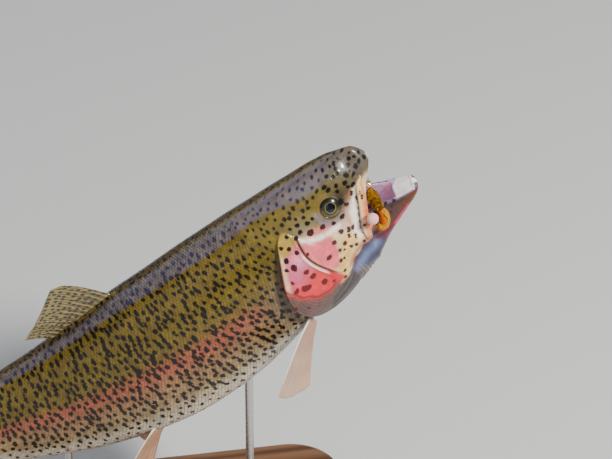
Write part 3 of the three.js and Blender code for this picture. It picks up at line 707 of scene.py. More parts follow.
def make_spots():
    """Seeded spots as rows (s, t, half length, half height), t the arc length up the side."""
    sides = []
    for _ in ("right", "left"):
        count = SPOT_TRIES
        s = rng.uniform(-2, 452, count)
        up, down = arc_limits(s)
        t = rng.uniform(-0.92 * down, up)
        size = rng.uniform(0.84, 1.2, count)
        _, z = surface_at(s, t)
        on_face = (s < 112) & (z < look_up(FACE_TOP, s))
        gap = spot_gap(s, t, down) * rng.uniform(0.9, 1.15, count)
        s, t, size, gap, up, down = (q[~on_face] for q in (s, t, size, gap, up, down))
        cell, taken, chosen = 6.0, {}, []  # cell is wider (mm) than any gap
        for q in range(len(s)):
            ci, cj = int(s[q] // cell), int(t[q] // cell)
            near = [p for di in (-1, 0, 1) for dj in (-1, 0, 1)
                    for p in taken.get((ci + di, cj + dj), ())]
            free = all((s[q] - a) ** 2 + ((t[q] - b) * 0.82) ** 2 > gap[q] ** 2 for a, b in near)
            if free:
                taken.setdefault((ci, cj), []).append((s[q], t[q]))
                chosen.append(q)
        s, t, size, up, down = s[chosen], t[chosen], size[chosen], up[chosen], down[chosen]
        long, tall = spot_size(s, t, up, down)
        tall = tall * rng.uniform(0.75, 1.35, len(s))
        rows = np.stack([s, t, long * size, tall * size], 1)
        extra = rows[(rng.uniform(0, 1, len(s)) < 0.34) & (s > 104)].copy()
        extra[:, 0] += rng.uniform(-1.0, 1.0, len(extra))
        above = rng.choice([-1, 1], len(extra))
        extra[:, 1] += above * extra[:, 3] * rng.uniform(1.1, 1.5, len(extra))
        extra[:, 2:] *= 0.74
        sides.append(np.vstack([rows, extra]))
    return sides


def face_spot_distance(s, y, z):
    """Signed distance (mm) to the nearest listed spot's edge."""
    face = np.array(FACE_SPOTS)
    middle = widest(face[:, 0])
    reach = np.where(face[:, 1] > middle, top(face[:, 0]) - middle, middle - belly(face[:, 0]))
    v = np.clip(np.abs(face[:, 1] - middle) / reach, 0, 0.995)
    face_y = half_width(face[:, 0]) * (1 - v ** TOP_ROUND) ** (1 / TOP_ROUND)
    curved = ramp(v, 0.6, 0.85)
    best = np.full(len(s), NO_SPOT)
    for (s0, z0, a, b), y0, k in zip(face, face_y, curved):
        near = np.flatnonzero(np.abs(s - s0) < 8)
        ds, dz = s[near] - s0, z[near] - z0
        dy = (np.abs(y[near]) - y0) * k
        d = (np.hypot(ds / a, np.hypot(dz, dy) / b) - 1) * min(a, b)
        best[near] = np.minimum(best[near], d)
    return best


def spot_gap(s, t, down):
    """Distance (mm) kept between spots."""
    small = fade(s, 60, 125)
    low = ramp(-t / down, 0.35, 0.85)
    return 4.3 - 0.3 * small + 2.6 * low + 0.4 * ramp(s, 300, 440)


def spot_size(s, t, up, down):
    """Half length and half height (mm) of a spot."""
    near_head = fade(s, 75, 135)
    low = ramp(-t / down, 0.25, 0.8)
    back = ramp(t / up, 0.6, 0.9)
    long = 1.42 - 0.24 * near_head - 0.5 * low - 0.1 * back
    tall = 2.25 - 0.95 * near_head - 0.9 * low - 0.45 * back
    return long, tall


SPOTS = make_spots()


def spot_distance(s, y, t):
    """Signed distance (mm) to the nearest spot's edge, negative inside it."""
    out = np.full(len(s), NO_SPOT)
    cell = 7.0
    for side, rows in enumerate(SPOTS):
        here = np.flatnonzero((y >= 0) if side else (y < 0))
        ci = np.floor(rows[:, 0] / cell).astype(int) + 3
        cj = np.floor(rows[:, 1] / cell).astype(int) + 20
        table = {}
        for q in range(len(rows)):
            table.setdefault((ci[q], cj[q]), []).append(q)
        deep = max(len(v) for v in table.values())
        lut = np.full((75, 45, deep), -1, np.int32)
        for (a, b), v in table.items():
            lut[a, b, :len(v)] = v
        hs, ht = s[here], t[here]
        pi = np.clip(np.floor(hs / cell).astype(int) + 3, 1, 73)
        pj = np.clip(np.floor(ht / cell).astype(int) + 20, 1, 43)
        best = np.full(len(here), NO_SPOT)
        for di in (-1, 0, 1):
            for dj in (-1, 0, 1):
                ids = lut[pi + di, pj + dj]
                for k in range(deep):
                    q = ids[:, k]
                    row = rows[q]
                    a = (hs - row[:, 0]) / row[:, 2]
                    b = (ht - row[:, 1]) / row[:, 3]
                    d = (np.sqrt(a * a + b * b) - 1) * np.minimum(row[:, 2], row[:, 3])
                    best = np.where(q >= 0, np.minimum(best, d), best)
        out[here] = best
    return out


OLIVE, OLIVE_DARK = (110, 94, 34), (100, 80, 24)
# the two lavender greys are painted reflections of the sky on the wet back
SKY_REFLECTION, SKY_REFLECTION_PALE, BELLY_WHITE = (98, 92, 104), (126, 118, 120), (226, 218, 206)
LOW_FLANK, ROSE = (148, 130, 94), (186, 84, 84)
CREAM, CHEEK_WHITE = (236, 210, 150), (252, 246, 246)
PINK, RED = (234, 104, 128), (214, 52, 54)
INNER_WHITE = (250, 244, 246)
# the gular colours are painted shade on the underside of the jaw and throat
GULAR_SHADE, GULAR_GREY_SHADE = (56, 54, 78), (66, 60, 62)
BROWN_ORANGE, LOW_PINK = (80, 50, 36), (180, 38, 84)
DARK_RED, SPOT_BLACK, SPOT_BROWN = (92, 16, 26), (8, 6, 10), (92, 18, 22)
# the second colour is painted shadow in the groove at the front cover's edge
COVER_YELLOW, GROOVE_SHADOW = (170, 142, 66), (46, 18, 20)


# half width of the lavender band of painted sky reflection along the back, (s, y)
SKY_BAND_EDGE = [[0, 9.5], [10, 10.8], [14, 12.2], [21, 13.6], [27, 13.9], [36, 14.9], [48, 14.8],
             [65, 13.4], [80, 13.2], [92, 14], [114, 15], [130, 15.6], [200, 15], [440, 3.5]]


def paint(s, y, z, t, mouth):
    """Base colour with the painted sky reflection on the back, spot colour and spot distance for
    points of the straight body.
    """
    up, down = arc_limits(s)
    h = np.where(t >= 0, t / up, t / down)
    n = len(s)
    body = ramp(s, 100, 116)
    colour = plain(OLIVE, n)

    def tint(rgb, amount):
        nonlocal colour
        colour = wash(colour, rgb, amount)

    tint(LOW_FLANK, body * ramp(-h, -0.12, 0.3))
    tint((124, 104, 88), 0.8 * bump(s - 108, 16) * ramp(-h, -0.34, -0.02))
    tint(BELLY_WHITE, ramp(-h, 0.3, 0.72))
    tint(ROSE, 0.5 * bump(h - 0.05, 0.1) * ramp(s, 112, 136))
    tint(ROSE, 0.22 * bump(h + 0.1, 0.18) * ramp(s, 112, 150) * fade(s, 330, 430))
    edge = look_up(SKY_BAND_EDGE, s)
    # the lavender band is painted sky reflection on the wet back, with a paler streak of painted
    # reflection inside it
    sky_band = fade(np.abs(y) - edge, -1.0, 1.0) * (z > 0)
    tint(SKY_REFLECTION, 0.86 * sky_band)
    tint(SKY_REFLECTION_PALE, 0.4 * sky_band * bump(np.abs(y) - 0.78 * edge, 3))
    crest = fade(np.abs(y), 1.5, 5.0 + 3.5 * ramp(s, 60, 140)) * (z > 0) * ramp(s, 4, 16)
    tint(OLIVE_DARK, 0.9 * crest)
    tint((98, 82, 36), 0.85 * ramp(s, 424, 451))
    spot_ink = plain(SPOT_BLACK, n)
    # spots under the band get a bluish ink, painted sky reflection over them
    spot_ink = wash(spot_ink, (56, 52, 78), 0.85 * sky_band * (1 - crest) * ramp(s, 12, 40))
    spot = spot_distance(s, y, t)

    at_head = np.flatnonzero(s < HEAD_PAINT_END)
    args = (q[at_head] for q in (s, y, z, colour, spot_ink, spot, mouth))
    colour[at_head], spot_ink[at_head], spot[at_head] = paint_head(*args)
    return colour, spot_ink, spot


# outlines on the side of the head, (s, z)
PALE_FACE = [[-4, 1.6], [8, 3.6], [13, 6], [18, 6.8], [25, 4.6], [31, 2.2], [36, 1.2], [40, 2],
             [44, 4.8], [49, 8.8], [54, 12.6], [59, 15.6], [64, 17.4], [68, 15], [74, -4],
             [72, -30], [60, -62], [-14, -62], [-14, 1]]
WHITE_TRIANGLE = [[18, 5], [25, 2], [32.3, -2.2], [36.6, -9], [42, -13.6], [44.6, -20.6],
                  [40, -22.6], [37, -17], [32, -10.6], [27, -5], [20.5, 1.6]]
PINK_CHEEK = [[66.5, 18], [62, 10], [56, 4.6], [50.5, 1.6], [54.8, -7.5], [59.5, -13.5],
              [66, -18.6], [71, -19.6], [73.5, -8], [73, 4], [70, 12]]
PINK_BROW = [[61, 14.8], [57, 9], [52, 5], [46.5, 3.6], [44.5, 5.2], [50, 9.6], [56, 13.6]]
THROAT = [[35, -27.6], [41, -26.8], [47, -24.8], [57, -25.2], [64, -27.6], [71, -30], [79, -30.4],
          [85, -31], [94, -38], [98, -62], [44, -62], [37, -40]]
YELLOW_CHEEK = [[49, -9], [54, -8.6], [59, -14.6], [67, -19], [74.6, -24], [83, -22.6], [82, -25.6],
                [76.6, -29.4], [67, -27.6], [59, -22], [50.5, -19.4], [45, -20.6], [44, -13]]
COVER_UPPER = [[64, 21], [66, 36], [82, 36], [90, 24], [86, 19.4], [78, 18.6], [72, 18], [68.5, 17.6]]
RED_LOWER = [[100, 2.4], [97, -7], [91, -17.6], [84.4, -23.4], [78, -24], [72, -20.4], [72, 30],
             [112, 30]]
# lines on the side of the head, (s, z)
STREAK = [[17, 7.2], [25, 4.4], [32, 0.8], [37, -6], [40.4, -10.6]]
CHEEK_HEM = [[36, -26.2], [41, -25.4], [47, -23.4], [57, -23.8], [64, -26.2]]
THROAT_BULGE = [[42, -33.5], [51, -31.6], [62, -33.4]]
JAW_CORNER = [[27, -37.4], [33, -35.4], [39, -31.4]]


def paint_head(s, y, z, colour, spot_ink, spot, mouth):
    """The head's colours, painted shade and highlights among them, over those of paint, in the order
    they cover each other.
    """
    def tint(rgb, amount):
        nonlocal colour
        colour = wash(colour, rgb, amount)

    n = len(s)
    side = ramp(np.abs(y), 4, 9)
    wander = 0.9 * np.sin(0.55 * s + 0.35 * z) + 0.6 * np.sin(0.9 * z - 0.4 * s + 1.3)

    def inside(outline, low, high, way=1.0):
        return fade(polygon_distance(outline, s, z) + way * wander, low, high) * side

    tint((104, 96, 68), 0.7 * fade(s, 22, 42) * (z < 26))
    snout = fade(s, 6, 26)
    tint((90, 82, 74), 0.8 * snout)
    tint((150, 142, 118), 0.6 * side * bump(np.hypot(s - 60, (z - 18) * 1.2), 11))
    eye_ring = np.hypot(s - EYE["s"], z - EYE["z"])
    # painted shade inside the nostril pits
    for s0, z0 in NOSTRILS:
        tint((30, 24, 26), 0.85 * side * bump(np.hypot(s - s0, z - z0), 1.3))
    # a dark patch on the groove in front of the eye: the skin's own dark colour with painted shade
    front = bump(np.hypot((s - 27) * 0.8, z - 10.5), 6.4) * side
    tint((52, 44, 38), 0.85 * front)

    face = inside(PALE_FACE, -2.4, 1.4, 0.6)
    pale = wash(plain((214, 190, 160), n), CREAM, 0.8 * ramp(s - 0.45 * z, 36, 56))
    pale = wash(pale, (222, 168, 158), 0.55 * bump(np.hypot(s - 40, z + 3), 7))
    colour = colour + (pale - colour) * face[:, None]
    fringe = bump(polygon_distance(PALE_FACE, s, z) + 0.6 * wander, 2.2) * side * bump(s - 45, 26)
    tint((206, 150, 132), 0.45 * fringe)
    tint(CHEEK_WHITE, inside(WHITE_TRIANGLE, -1.6, 1.2, 0.4))
    streak, along, _ = line_distance(STREAK, s, z)
    broken = 0.55 + 0.45 * np.sin(1.3 * s + 0.7 * z)
    tint((168, 96, 80), 0.75 * side * bump(streak, 1.1) * ramp(along, 0, 0.2)
         * fade(along, 0.7, 1) * broken)
    pink = inside(PINK_CHEEK, -3.2, 1.6, 0.8)
    tint(PINK, 0.95 * pink)
    tint((232, 96, 112), 0.55 * pink * bump(np.hypot(s - 63, z + 3), 9))
    tint((214, 88, 104), 0.85 * inside(PINK_BROW, -1.8, 1.6, 0.5))
    tint((238, 196, 118), 0.95 * inside(YELLOW_CHEEK, -2.4, 1.6, 0.6))

    cover = polygon_distance(COVER_EDGE, s, z)
    plate = fade(cover, -0.5, 0.9) * ramp(np.abs(y), 6, 10)
    gash, gash_along, which = line_distance(catmull(PREOPERCLE, 30), s, z)
    behind = gash * which
    hind = plate * ramp(behind + (z - 20) * 0.2 * (z > 14), -0.4, 0.8) * fade(-z, 26, 29)
    tint(COVER_YELLOW, plate * inside(COVER_UPPER, -1, 3, 0.8))
    lower = hind * (1 - inside(COVER_UPPER, -1.5, 1.5, 0.8))
    tint((216, 104, 124), lower)
    depth = ramp(-z + 0.25 * (s - 80) + 0.8 * wander, -6, 9)
    tint(RED, lower * depth * 0.95)
    tint((190, 92, 128), 0.6 * lower * bump(np.hypot((s - 87) * 0.8, z - 1), 6))
    # a painted highlight on the upper part of the gill cover
    tint((228, 158, 190), 0.6 * lower * bump(np.hypot((s - 79) * 0.8, z - 10), 6))
    margin = plate * ramp(s, 80, 86) * fade(s, 96, 102)
    tint((236, 214, 170), 0.85 * margin * bump(cover + 2.4, 1.7))
    tint((70, 48, 44), 0.8 * margin * bump(cover + 0.2, 0.7))
    low = polygon_distance(RED_LOWER, s, z) + 0.4 * wander
    skirt = ramp(low, 0.4, 2.4) * ramp(s, 74, 79) * ramp(-z, -4, 4) * plate
    # dark stripes of painted shade in the grooves between the folds under the gill cover
    fold_shade = 0.5 + 0.5 * np.cos(2 * math.pi * cover / SKIRT_PITCH)
    tint((100, 84, 82), skirt * 0.95)
    tint((56, 46, 46), skirt * 0.45 * fold_shade)
    tint((156, 66, 66), 0.7 * skirt * fade(low, 1.5, 5))
    tint((120, 24, 28), 0.8 * hind * bump(low, 0.9) * ramp(s, 74, 80))

    # the painted highlight on the lifted lip and the painted shadow in the groove at the front cover's
    # edge, and the pale crescent above the cheek
    crescent, along, _ = line_distance(catmull(CRESCENT, 16), s, z)
    tint(INNER_WHITE, side * bump(crescent, 1.5 + 0.6 * along) * ramp(along, 0, 0.15))
    ends = ramp(gash_along, 0.02, 0.12) * fade(gash_along, 0.74, 0.92)
    # painted highlight along the lifted lip behind the groove
    rim = bump(behind - 1.35, 0.62) * ramp(gash_along, 0.3, 0.42) * fade(gash_along, 0.68, 0.8)
    tint(INNER_WHITE, side * 0.95 * rim)
    # painted shadow in the groove under the lifted lip
    tint(GROOVE_SHADOW, side * 0.95 * bump(behind, 0.62) * ends)

    # round the eye
    tint((46, 40, 26), side * fade(eye_ring, 6.6, 8.0) * 0.85)
    grey = side * bump(eye_ring - 9.6, 2.6) * ramp(s - z, 22, 32) * ramp(s, 30, 38)
    tint((126, 120, 136), 0.85 * grey)
    tint((170, 140, 34), 0.5 * side * bump(eye_ring - 8.0, 0.7) * ramp(s - 0.2 * z, 32, 42))
    tint((36, 28, 26), 0.8 * side * bump(eye_ring - 9.4, 1.6) * ramp(-s - 0.5 * z, -36, -28))

    # the upper lip, the lower jaw and the underside
    lip, along, lip_side = line_distance(catmull(LIP_PATH, 22), s, z)
    radius = lip_radius(along)
    strap = fade(lip - radius, -0.7, 0.4) * side
    free = fade(along, 0.84, 1.0)
    across = lip * lip_side / radius
    bone = wash(plain((226, 182, 92), n), (230, 130, 72), ramp(along, 0.25, 0.6))
    bone = wash(bone, (246, 232, 196), 0.7 * bump(across - 0.45, 0.5))
    bone = wash(bone, (204, 96, 84), 0.8 * bump(across + 0.95, 0.55))
    colour = colour + (bone - colour) * (strap * (0.3 + 0.7 * free))[:, None]
    cleft = bump(lip - radius - 0.35, 0.9) * (lip_side > 0) * free * side
    cleft = cleft * ramp(along, 0.1, 0.4)
    tint((66, 34, 28), cleft * (0.45 + 0.5 * np.sin(along * 34) ** 2))
    jaw = ramp(-(z - upper_edge(s)), 0.8, 3) * fade(s, 48, 55) * (1 - strap)
    tint(BROWN_ORANGE, jaw)
    tint((78, 48, 50), 0.75 * jaw * ramp(s, 7, 18))
    rim_z = look_up(LOWER_RIM, s)
    patchy = 0.45 + 0.55 * np.sin(0.9 * s + 1.7 * z) ** 2
    blotch = bump(z - rim_z + 2.8 + 0.5 * wander, 2.3) * patchy
    tint((36, 26, 26), 0.85 * jaw * blotch * (s < 36))
    stripe = ramp(-z, 36, 37) * fade(-z, 38.8, 40.2) * ramp(s, 5, 12) * fade(s, 27, 33)
    tint(LOW_PINK, jaw * stripe)
    tint((104, 62, 84), 0.85 * jaw * ramp(s, 24, 32) * ramp(-z, 30, 35))
    tint((108, 60, 26), 0.6 * jaw * fade(s, 2, 9))
    # a painted blue-grey highlight along the lower jaw's rim
    tint((116, 112, 150), 0.9 * jaw * bump(z - rim_z + 0.2, 1.1))
    skin_fold = bump(np.hypot((s - 36) * 0.5, z + 23.6), 4.4) * side
    tint((206, 164, 128), 0.9 * skin_fold * (1 - strap * free))
    throat = polygon_distance(THROAT, s, z) + 0.5 * wander
    # the underside of the jaw and throat is painted dark as shade, with a painted bluish highlight
    # along the throat's bulge
    under = np.maximum(ramp(-z, 39.4, 41.4) * fade(s, 94, 108),
                       fade(throat, -1.4, 1.2) * side)
    tint(GULAR_SHADE, under * fade(s, 58, 70))
    tint(GULAR_GREY_SHADE, under * ramp(s, 56, 68))
    tint((78, 50, 70), 0.85 * under * bump(throat + 2.4, 2.2) * fade(s, 66, 76))
    bulge_highlight, _, _ = line_distance(THROAT_BULGE, s, z)
    tint((104, 120, 168), 0.95 * bump(bulge_highlight, 3.6) * under)
    corner, _, _ = line_distance(JAW_CORNER, s, z)
    tint(DARK_RED, 0.8 * bump(corner, 1.7) * side * (1 - strap))
    fringe, _, _ = line_distance(CHEEK_HEM, s, z)
    tint((190, 96, 56), 0.75 * side * bump(fringe, 1.2))
    inky = np.clip(lower * ramp(-z, -14, -4) + pink, 0, 1)
    spot_ink = wash(spot_ink, SPOT_BROWN, inky * 0.85)
    spot_ink = wash(spot_ink, (62, 22, 26), 0.6 * face)
    by_hand = face_spot_distance(s, y, z)
    spot = np.minimum(spot, by_hand)
    spot = np.where(skirt * side > 0.6, spot + 0.7, spot)

    # inside the mouth
    deep = plain((206, 146, 184), n)
    deep = wash(deep, (190, 98, 128), ramp(s, 26, 50))
    # the mouth's far wall is paler lavender towards its top: painted light falling from above
    wall_lit_top = ramp(z - 0.15 * s, -36, -27) * fade(s, 26, 44) * (z < -6)
    deep = wash(deep, (196, 172, 216), 0.8 * wall_lit_top)
    deep = wash(deep, (222, 74, 92), 0.55 * bump(np.hypot(s - 14, (z + 31) * 0.7), 3.4))
    pad_mark = s + PAD_TILT * np.abs(y) + 0.45 * np.maximum(y - 3, 0)
    deep = wash(deep, INNER_WHITE, fade(pad_mark, 9.9, 11.2))
    colour = colour + (deep - colour) * mouth[:, None]
    spot = np.where(mouth > 0.5, NO_SPOT, spot)
    return colour, spot_ink, spot


def mouth_mask(s, y, z):
    """1 on the skin that lines the mouth and on the pad inside the lower jaw's tip."""
    lining = fade(cavity_field(s, y, z), 0.55, 1.3)
    on_pad = fade(pad_height(s, y) - z, 0.3, 1.1) * (z < -20)
    on_pad = on_pad * fade(s, 10.5, 12) * fade(np.abs(y) - jaw_width(s), -1.2, -0.3)
    return np.clip(np.maximum(lining, on_pad), 0, 1) * (z < 12)


# ------------------------------------------------------------------ node materials


class Nodes:
    """Short names for building a node tree."""

    def __init__(self, name, rough=0.35):
        self.material = bpy.data.materials.new(name)
        self.material.use_nodes = True
        self.tree = self.material.node_tree
        self.shader = self.tree.nodes["Principled BSDF"]
        self.shader.inputs["Roughness"].default_value = rough

    def add(self, kind, inputs=None, **settings):
        node = self.tree.nodes.new(kind)
        for key, value in settings.items():
            setattr(node, key, value)
        for key, value in (inputs or {}).items():
            self.feed(node.inputs[key], value)
        return node

    def feed(self, socket, value):
        if isinstance(value, bpy.types.NodeSocket):
            self.tree.links.new(value, socket)
        elif value is not None:
            size = len(socket.default_value) if hasattr(socket.default_value, "__len__") else 1
            socket.default_value = (*value, 1) if size == 4 and len(value) == 3 else value

    def attribute(self, name, output="Fac"):
        return self.add("ShaderNodeAttribute", attribute_name=name).outputs[output]

    def stretched(self, *scale):
        """The object's own place, stretched along its axes."""
        place = self.add("ShaderNodeTexCoord").outputs["Object"]
        return self.add("ShaderNodeMapping", {"Vector": place, "Scale": scale}).outputs[0]

    def noise(self, scale, detail=2, vector=None, rough=0.5, distortion=0.0):
        inputs = {"Scale": scale, "Detail": detail, "Roughness": rough, "Distortion": distortion,
                  "Vector": vector}
        return self.add("ShaderNodeTexNoise", inputs).outputs["Fac"]

    def math(self, operation, a, b=0.0, c=0.0, clamp=False):
        node = self.add("ShaderNodeMath", {0: a, 1: b, 2: c}, operation=operation, use_clamp=clamp)
        return node.outputs[0]

    def times(self, a, b):
        return self.math("MULTIPLY", a, b)

    def step(self, value, low, high, to_low=0.0, to_high=1.0):
        inputs = {"Value": value, "From Min": low, "From Max": high, "To Min": to_low,
                  "To Max": to_high}
        node = self.add("ShaderNodeMapRange", inputs, interpolation_type="SMOOTHSTEP")
        return node.outputs["Result"]

    def mix(self, factor, a, b, blend="MIX"):
        node = self.add("ShaderNodeMix", data_type="RGBA", blend_type=blend)
        self.feed(node.inputs["Factor"], factor)
        self.feed(node.inputs["A"], a)
        self.feed(node.inputs["B"], b)
        return node.outputs["Result"]

    def tinted(self, factor, colour, tint):
        """The colour, with the tint multiplied in as far as factor says."""
        return self.mix(factor, colour, self.mix(1.0, colour, tint, "MULTIPLY"))

    def bump(self, height, distance, strength=1.0):
        return self.add("ShaderNodeBump", {"Height": height, "Distance": distance,
                                           "Strength": strength}).outputs["Normal"]

    def finish(self, **sockets):
        """Feeds the shader's sockets; a plain value is set on the socket itself."""
        for key, value in sockets.items():
            self.feed(self.shader.inputs[key.replace("_", " ")], value)
        return self.material


def skin_material(name, scaly):
    """Wet skin: painted base and spots from attributes, with mottling, a clear coat and relief."""
    m = Nodes(name, 0.3)
    where = m.attribute("body", "Vector")
    base, ink = m.attribute("base", "Color"), m.attribute("ink", "Color")
    wobble = m.noise(520 if scaly else 430, 3, where)
    spot = m.math("ADD", m.attribute("spot"), m.math("MULTIPLY_ADD", wobble, 2.4, -1.2))
    mark = m.step(spot, 0.3, -0.25)
    halo = m.step(spot, 1.1, 0.1)
    mottle = m.noise(70, 4, where, 0.6)
    colour = m.tinted(m.step(mottle, 0.4, 0.68, 0, 0.5), base, (0.62, 0.56, 0.5))
    cloud = m.noise(160, 3, where, 0.6)
    colour = m.tinted(m.step(cloud, 0.48, 0.7, 0, 0.6), colour, (1.45, 1.4, 1.05))
    fleck = m.noise(1100, 2, where)
    colour = m.tinted(m.step(fleck, 0.52, 0.72, 0, 0.4), colour, (0.5, 0.44, 0.4))
    if scaly:
        tone = m.attribute("tone")
        colour = m.tinted(m.step(tone, 0, 1, 0, 0.45), colour, (0.55, 0.5, 0.42))
        rim = m.attribute("rim")
        colour = m.tinted(m.times(rim, 0.45), colour, (0.4, 0.36, 0.3))
    colour = m.tinted(m.times(halo, 0.3), colour, (0.55, 0.5, 0.5))
    colour = m.mix(m.times(mark, 0.96), colour, ink)
    relief = m.math("ADD", m.noise(1500, 2, where), m.times(cloud, 1.4))
    normal = m.bump(relief, 0.0001, 0.5)
    rough = m.step(m.noise(260, 3, where), 0.3, 0.8, 0.24, 0.46)
    return m.finish(Base_Color=colour, Roughness=rough, Normal=normal, Specular_IOR_Level=0.2,
                    Coat_Weight=0.55, Coat_Roughness=0.05, Coat_IOR=1.36, Subsurface_Weight=0.05,
                    Subsurface_Radius=(0.004, 0.0015, 0.001), Subsurface_Scale=0.4)


# ------------------------------------------------------------------ building the skin


def one_piece(points, faces):
    """The largest joined piece of a mesh, without the specks beside it."""
    label = np.arange(len(points))
    while True:
        joined = label.copy()
        np.minimum.at(joined, faces.ravel(), np.repeat(label[faces].min(1), faces.shape[1]))
        joined = joined[joined]
        if np.array_equal(joined, label):
            break
        label = joined
    keep = label == np.bincount(label).argmax()
    number = np.cumsum(keep) - 1
    return points[keep], number[faces[keep[faces[:, 0]]]]


def build_skin():
    """The whole skin: half the field mirrored, meshed, painted and bent."""
    field, axis_s, axis_y, axis_z = skin_field()
    full = np.concatenate([field[:, :0:-1, :], field], axis=1)
    limit = 2.2
    grid = openvdb.FloatGrid(limit)
    grid.copyFromArray(np.clip(full, -limit, limit))
    points, _, quads = grid.convertToPolygons(isovalue=0.0, adaptivity=0.0)
    points, quads = one_piece(points, quads)
    s = np.interp(points[:, 0], np.arange(len(axis_s)), axis_s)
    y = (points[:, 1] - (len(axis_y) - 1)) * FINE
    z = points[:, 2] * FINE + axis_z[0]
    t = side_arc(s, y, z)
    mouth = mouth_mask(s, y, z)
    colour, ink, spot = paint(s, y, z, t, mouth)
    obj = mesh_object("trout_skin", bend(s, y, z), quads[:, ::-1])
    attach_paint(obj, s, y, z, colour, ink, spot)
    return obj


def attach_paint(obj, s, y, z, colour, ink, spot):
    n = len(s)
    set_attribute(obj, "base", np.hstack([colour, np.ones((n, 1))]))
    set_attribute(obj, "ink", np.hstack([ink, np.ones((n, 1))]))
    set_attribute(obj, "spot", spot)
    set_attribute(obj, "body", np.stack([s, y, z], 1) / 1000)


# ------------------------------------------------------------------ scales

SCALE_LONG = [-0.85, -0.15, 0.3, 0.58, 0.74, 0.72]  # along the body, in pitches, hidden end first
SCALE_WIDE = [0.5, 0.64, 0.62, 0.52, 0.34, 0.32]  # half width, in row spacings
SCALE_SAG = [0, 0, 0.08, 0.16, 0.22, 0.22]  # how far the sides of each line lie ahead of its middle
SCALE_LIFT = [-0.12, 0.05, 0.17, 0.26, 0.29, 0.02]  # mm above the skin
SCALE_RIM = [0, 0, 0, 0.25, 1, 1]  # how dark each line is
SCALE_ACROSS = np.linspace(-1, 1, 5)
UV_LONG, UV_HIGH = 480, 330  # mm of the body across the whole UV map


def scale_pitch(s):
    """Distance (mm) between the rows of scales."""
    return look_up([[80, 1.9], [110, 2.35], [200, 2.6], [330, 2.4], [452, 1.7]], s)


def skin_depth(s):
    return SKIN_INSET + (COAT_DEPTH - SKIN_INSET) * ramp(s, 88, 104)


def surface_round(s, t, side):
    """(y, z, outward y, outward z) at arc length t on one side, and past the back or the belly."""
    up, down = arc_limits(s)
    over, under = t > up, t < -down
    folded = np.where(over, 2 * up - t, np.where(under, -2 * down - t, t))
    flip = np.where(over | under, -1.0, 1.0)
    y, z = surface_at(s, folded)
    y1, z1 = surface_at(s, np.clip(folded + 0.4, -down, up))
    y0, z0 = surface_at(s, np.clip(folded - 0.4, -down, up))
    ty, tz = y1 - y0, z1 - z0
    size = np.maximum(np.hypot(ty, tz), 1e-9)
    ny, nz = tz / size, -ty / size
    return side * flip * y, z, side * flip * ny, nz


# where the scales begin behind the head, (z, s)
FIRST_SCALE = [[-60, 113], [-42, 108], [-30, 96], [24, 80], [34, 85], [45, 90], [60, 93.5]]


def scale_roots():
    """Centres (s, t) of one side's scales, on staggered rows along the body."""
    line = [82.0]
    while line[-1] < 449:
        line.append(line[-1] + float(scale_pitch(line[-1])) / 2)
    line = np.array(line)
    roots = []
    for row in range(-44, 40):
        s = line[row % 2::2]
        pitch_here = scale_pitch(s)
        t = row * pitch_here * 0.98
        up, down = arc_limits(s)
        keep = (t < up - 0.35 * pitch_here) & (t > -down + 0.35 * pitch_here)
        roots.append(np.stack([s[keep], t[keep]], 1))
    s, t = np.vstack(roots).T
    y, z = surface_at(s, t)
    cover = polygon_distance(COVER_EDGE, s, z)
    start = look_up(FIRST_SCALE, z)
    keep = (s > start) & ((cover > -4.5) | (s > 106))
    keep &= ~((np.abs(z - belly(s)) < 3) & (np.hypot(s - VENT_S, y) < 3.5))
    return s[keep], t[keep]


def midline_roots(up_side):
    line = [93.0 if up_side else 114.0]
    while line[-1] < 449:
        line.append(line[-1] + float(scale_pitch(line[-1])))
    s = np.array(line)
    up, down = arc_limits(s)
    t = up if up_side else -down
    fin = (s > 203) & (s < 263) if up_side else (s > 309) & (s < 359)
    if up_side:
        fin |= (s > 349) & (s < 366)
    return s[~fin], t[~fin]


def scale_piece(name, s0, t0, side):
    """One joined piece of scales with their centres at (s0, t0); each is a small curved plate."""
    count, lines, across = len(s0), len(SCALE_LONG), len(SCALE_ACROSS)
    size = scale_pitch(s0)[:, None, None]
    j = SCALE_ACROSS[None, None, :]
    long, wide, sag, lift = (np.array(q)[None, :, None]
                             for q in (SCALE_LONG, SCALE_WIDE, SCALE_SAG, SCALE_LIFT))
    grow = rng.uniform(0.94, 1.08, (count, 1, 1))
    ds = (long - sag * j ** 2) * size * grow
    dt = wide * j * size * grow + rng.normal(0, 0.03, (count, 1, 1)) * ds
    s = s0[:, None, None] + ds
    t = t0[:, None, None] + dt
    rises = lift + 0.07 * (1 - j ** 2) * (np.arange(lines) < lines - 1)[None, :, None]
    rises = rises * rng.uniform(0.8, 1.2, (count, 1, 1)) * (size / 2.5)
    settle = ramp(s0, 84, 100)[:, None, None]
    height = -skin_depth(s) + rises * (0.35 + 0.65 * settle)
    s, t, height = s.ravel(), np.broadcast_to(t, ds.shape).ravel(), height.ravel()
    y, z, ny, nz = surface_round(s, t, side)
    y, z = y + ny * height, z + nz * height
    first = np.arange(count)[:, None, None] * lines * across
    quads = (first + grid_quads(lines, across)).reshape(-1, 4)
    if side > 0:
        quads = quads[:, ::-1]
    obj = mesh_object(name, bend(s, y, z), quads)
    colour, ink, spot = paint(s, y, z, t, np.zeros(len(s)))
    attach_paint(obj, s, y, z, colour, ink, spot)
    each = lines * across
    set_attribute(obj, "tone", np.repeat(rng.uniform(0, 1, count), each))
    set_attribute(obj, "rim", np.tile(np.repeat(SCALE_RIM, across), count))
    u = s0[:, None, None] / UV_LONG + 0.03 + 0.0011 * long / 0.85 + 0 * ds
    v = (0.25 if side < 0 else 0.75) + t0[:, None, None] / UV_HIGH + 0.0013 * j + 0 * ds
    add_uv(obj, np.stack([u.ravel(), v.ravel()], 1))
    return obj


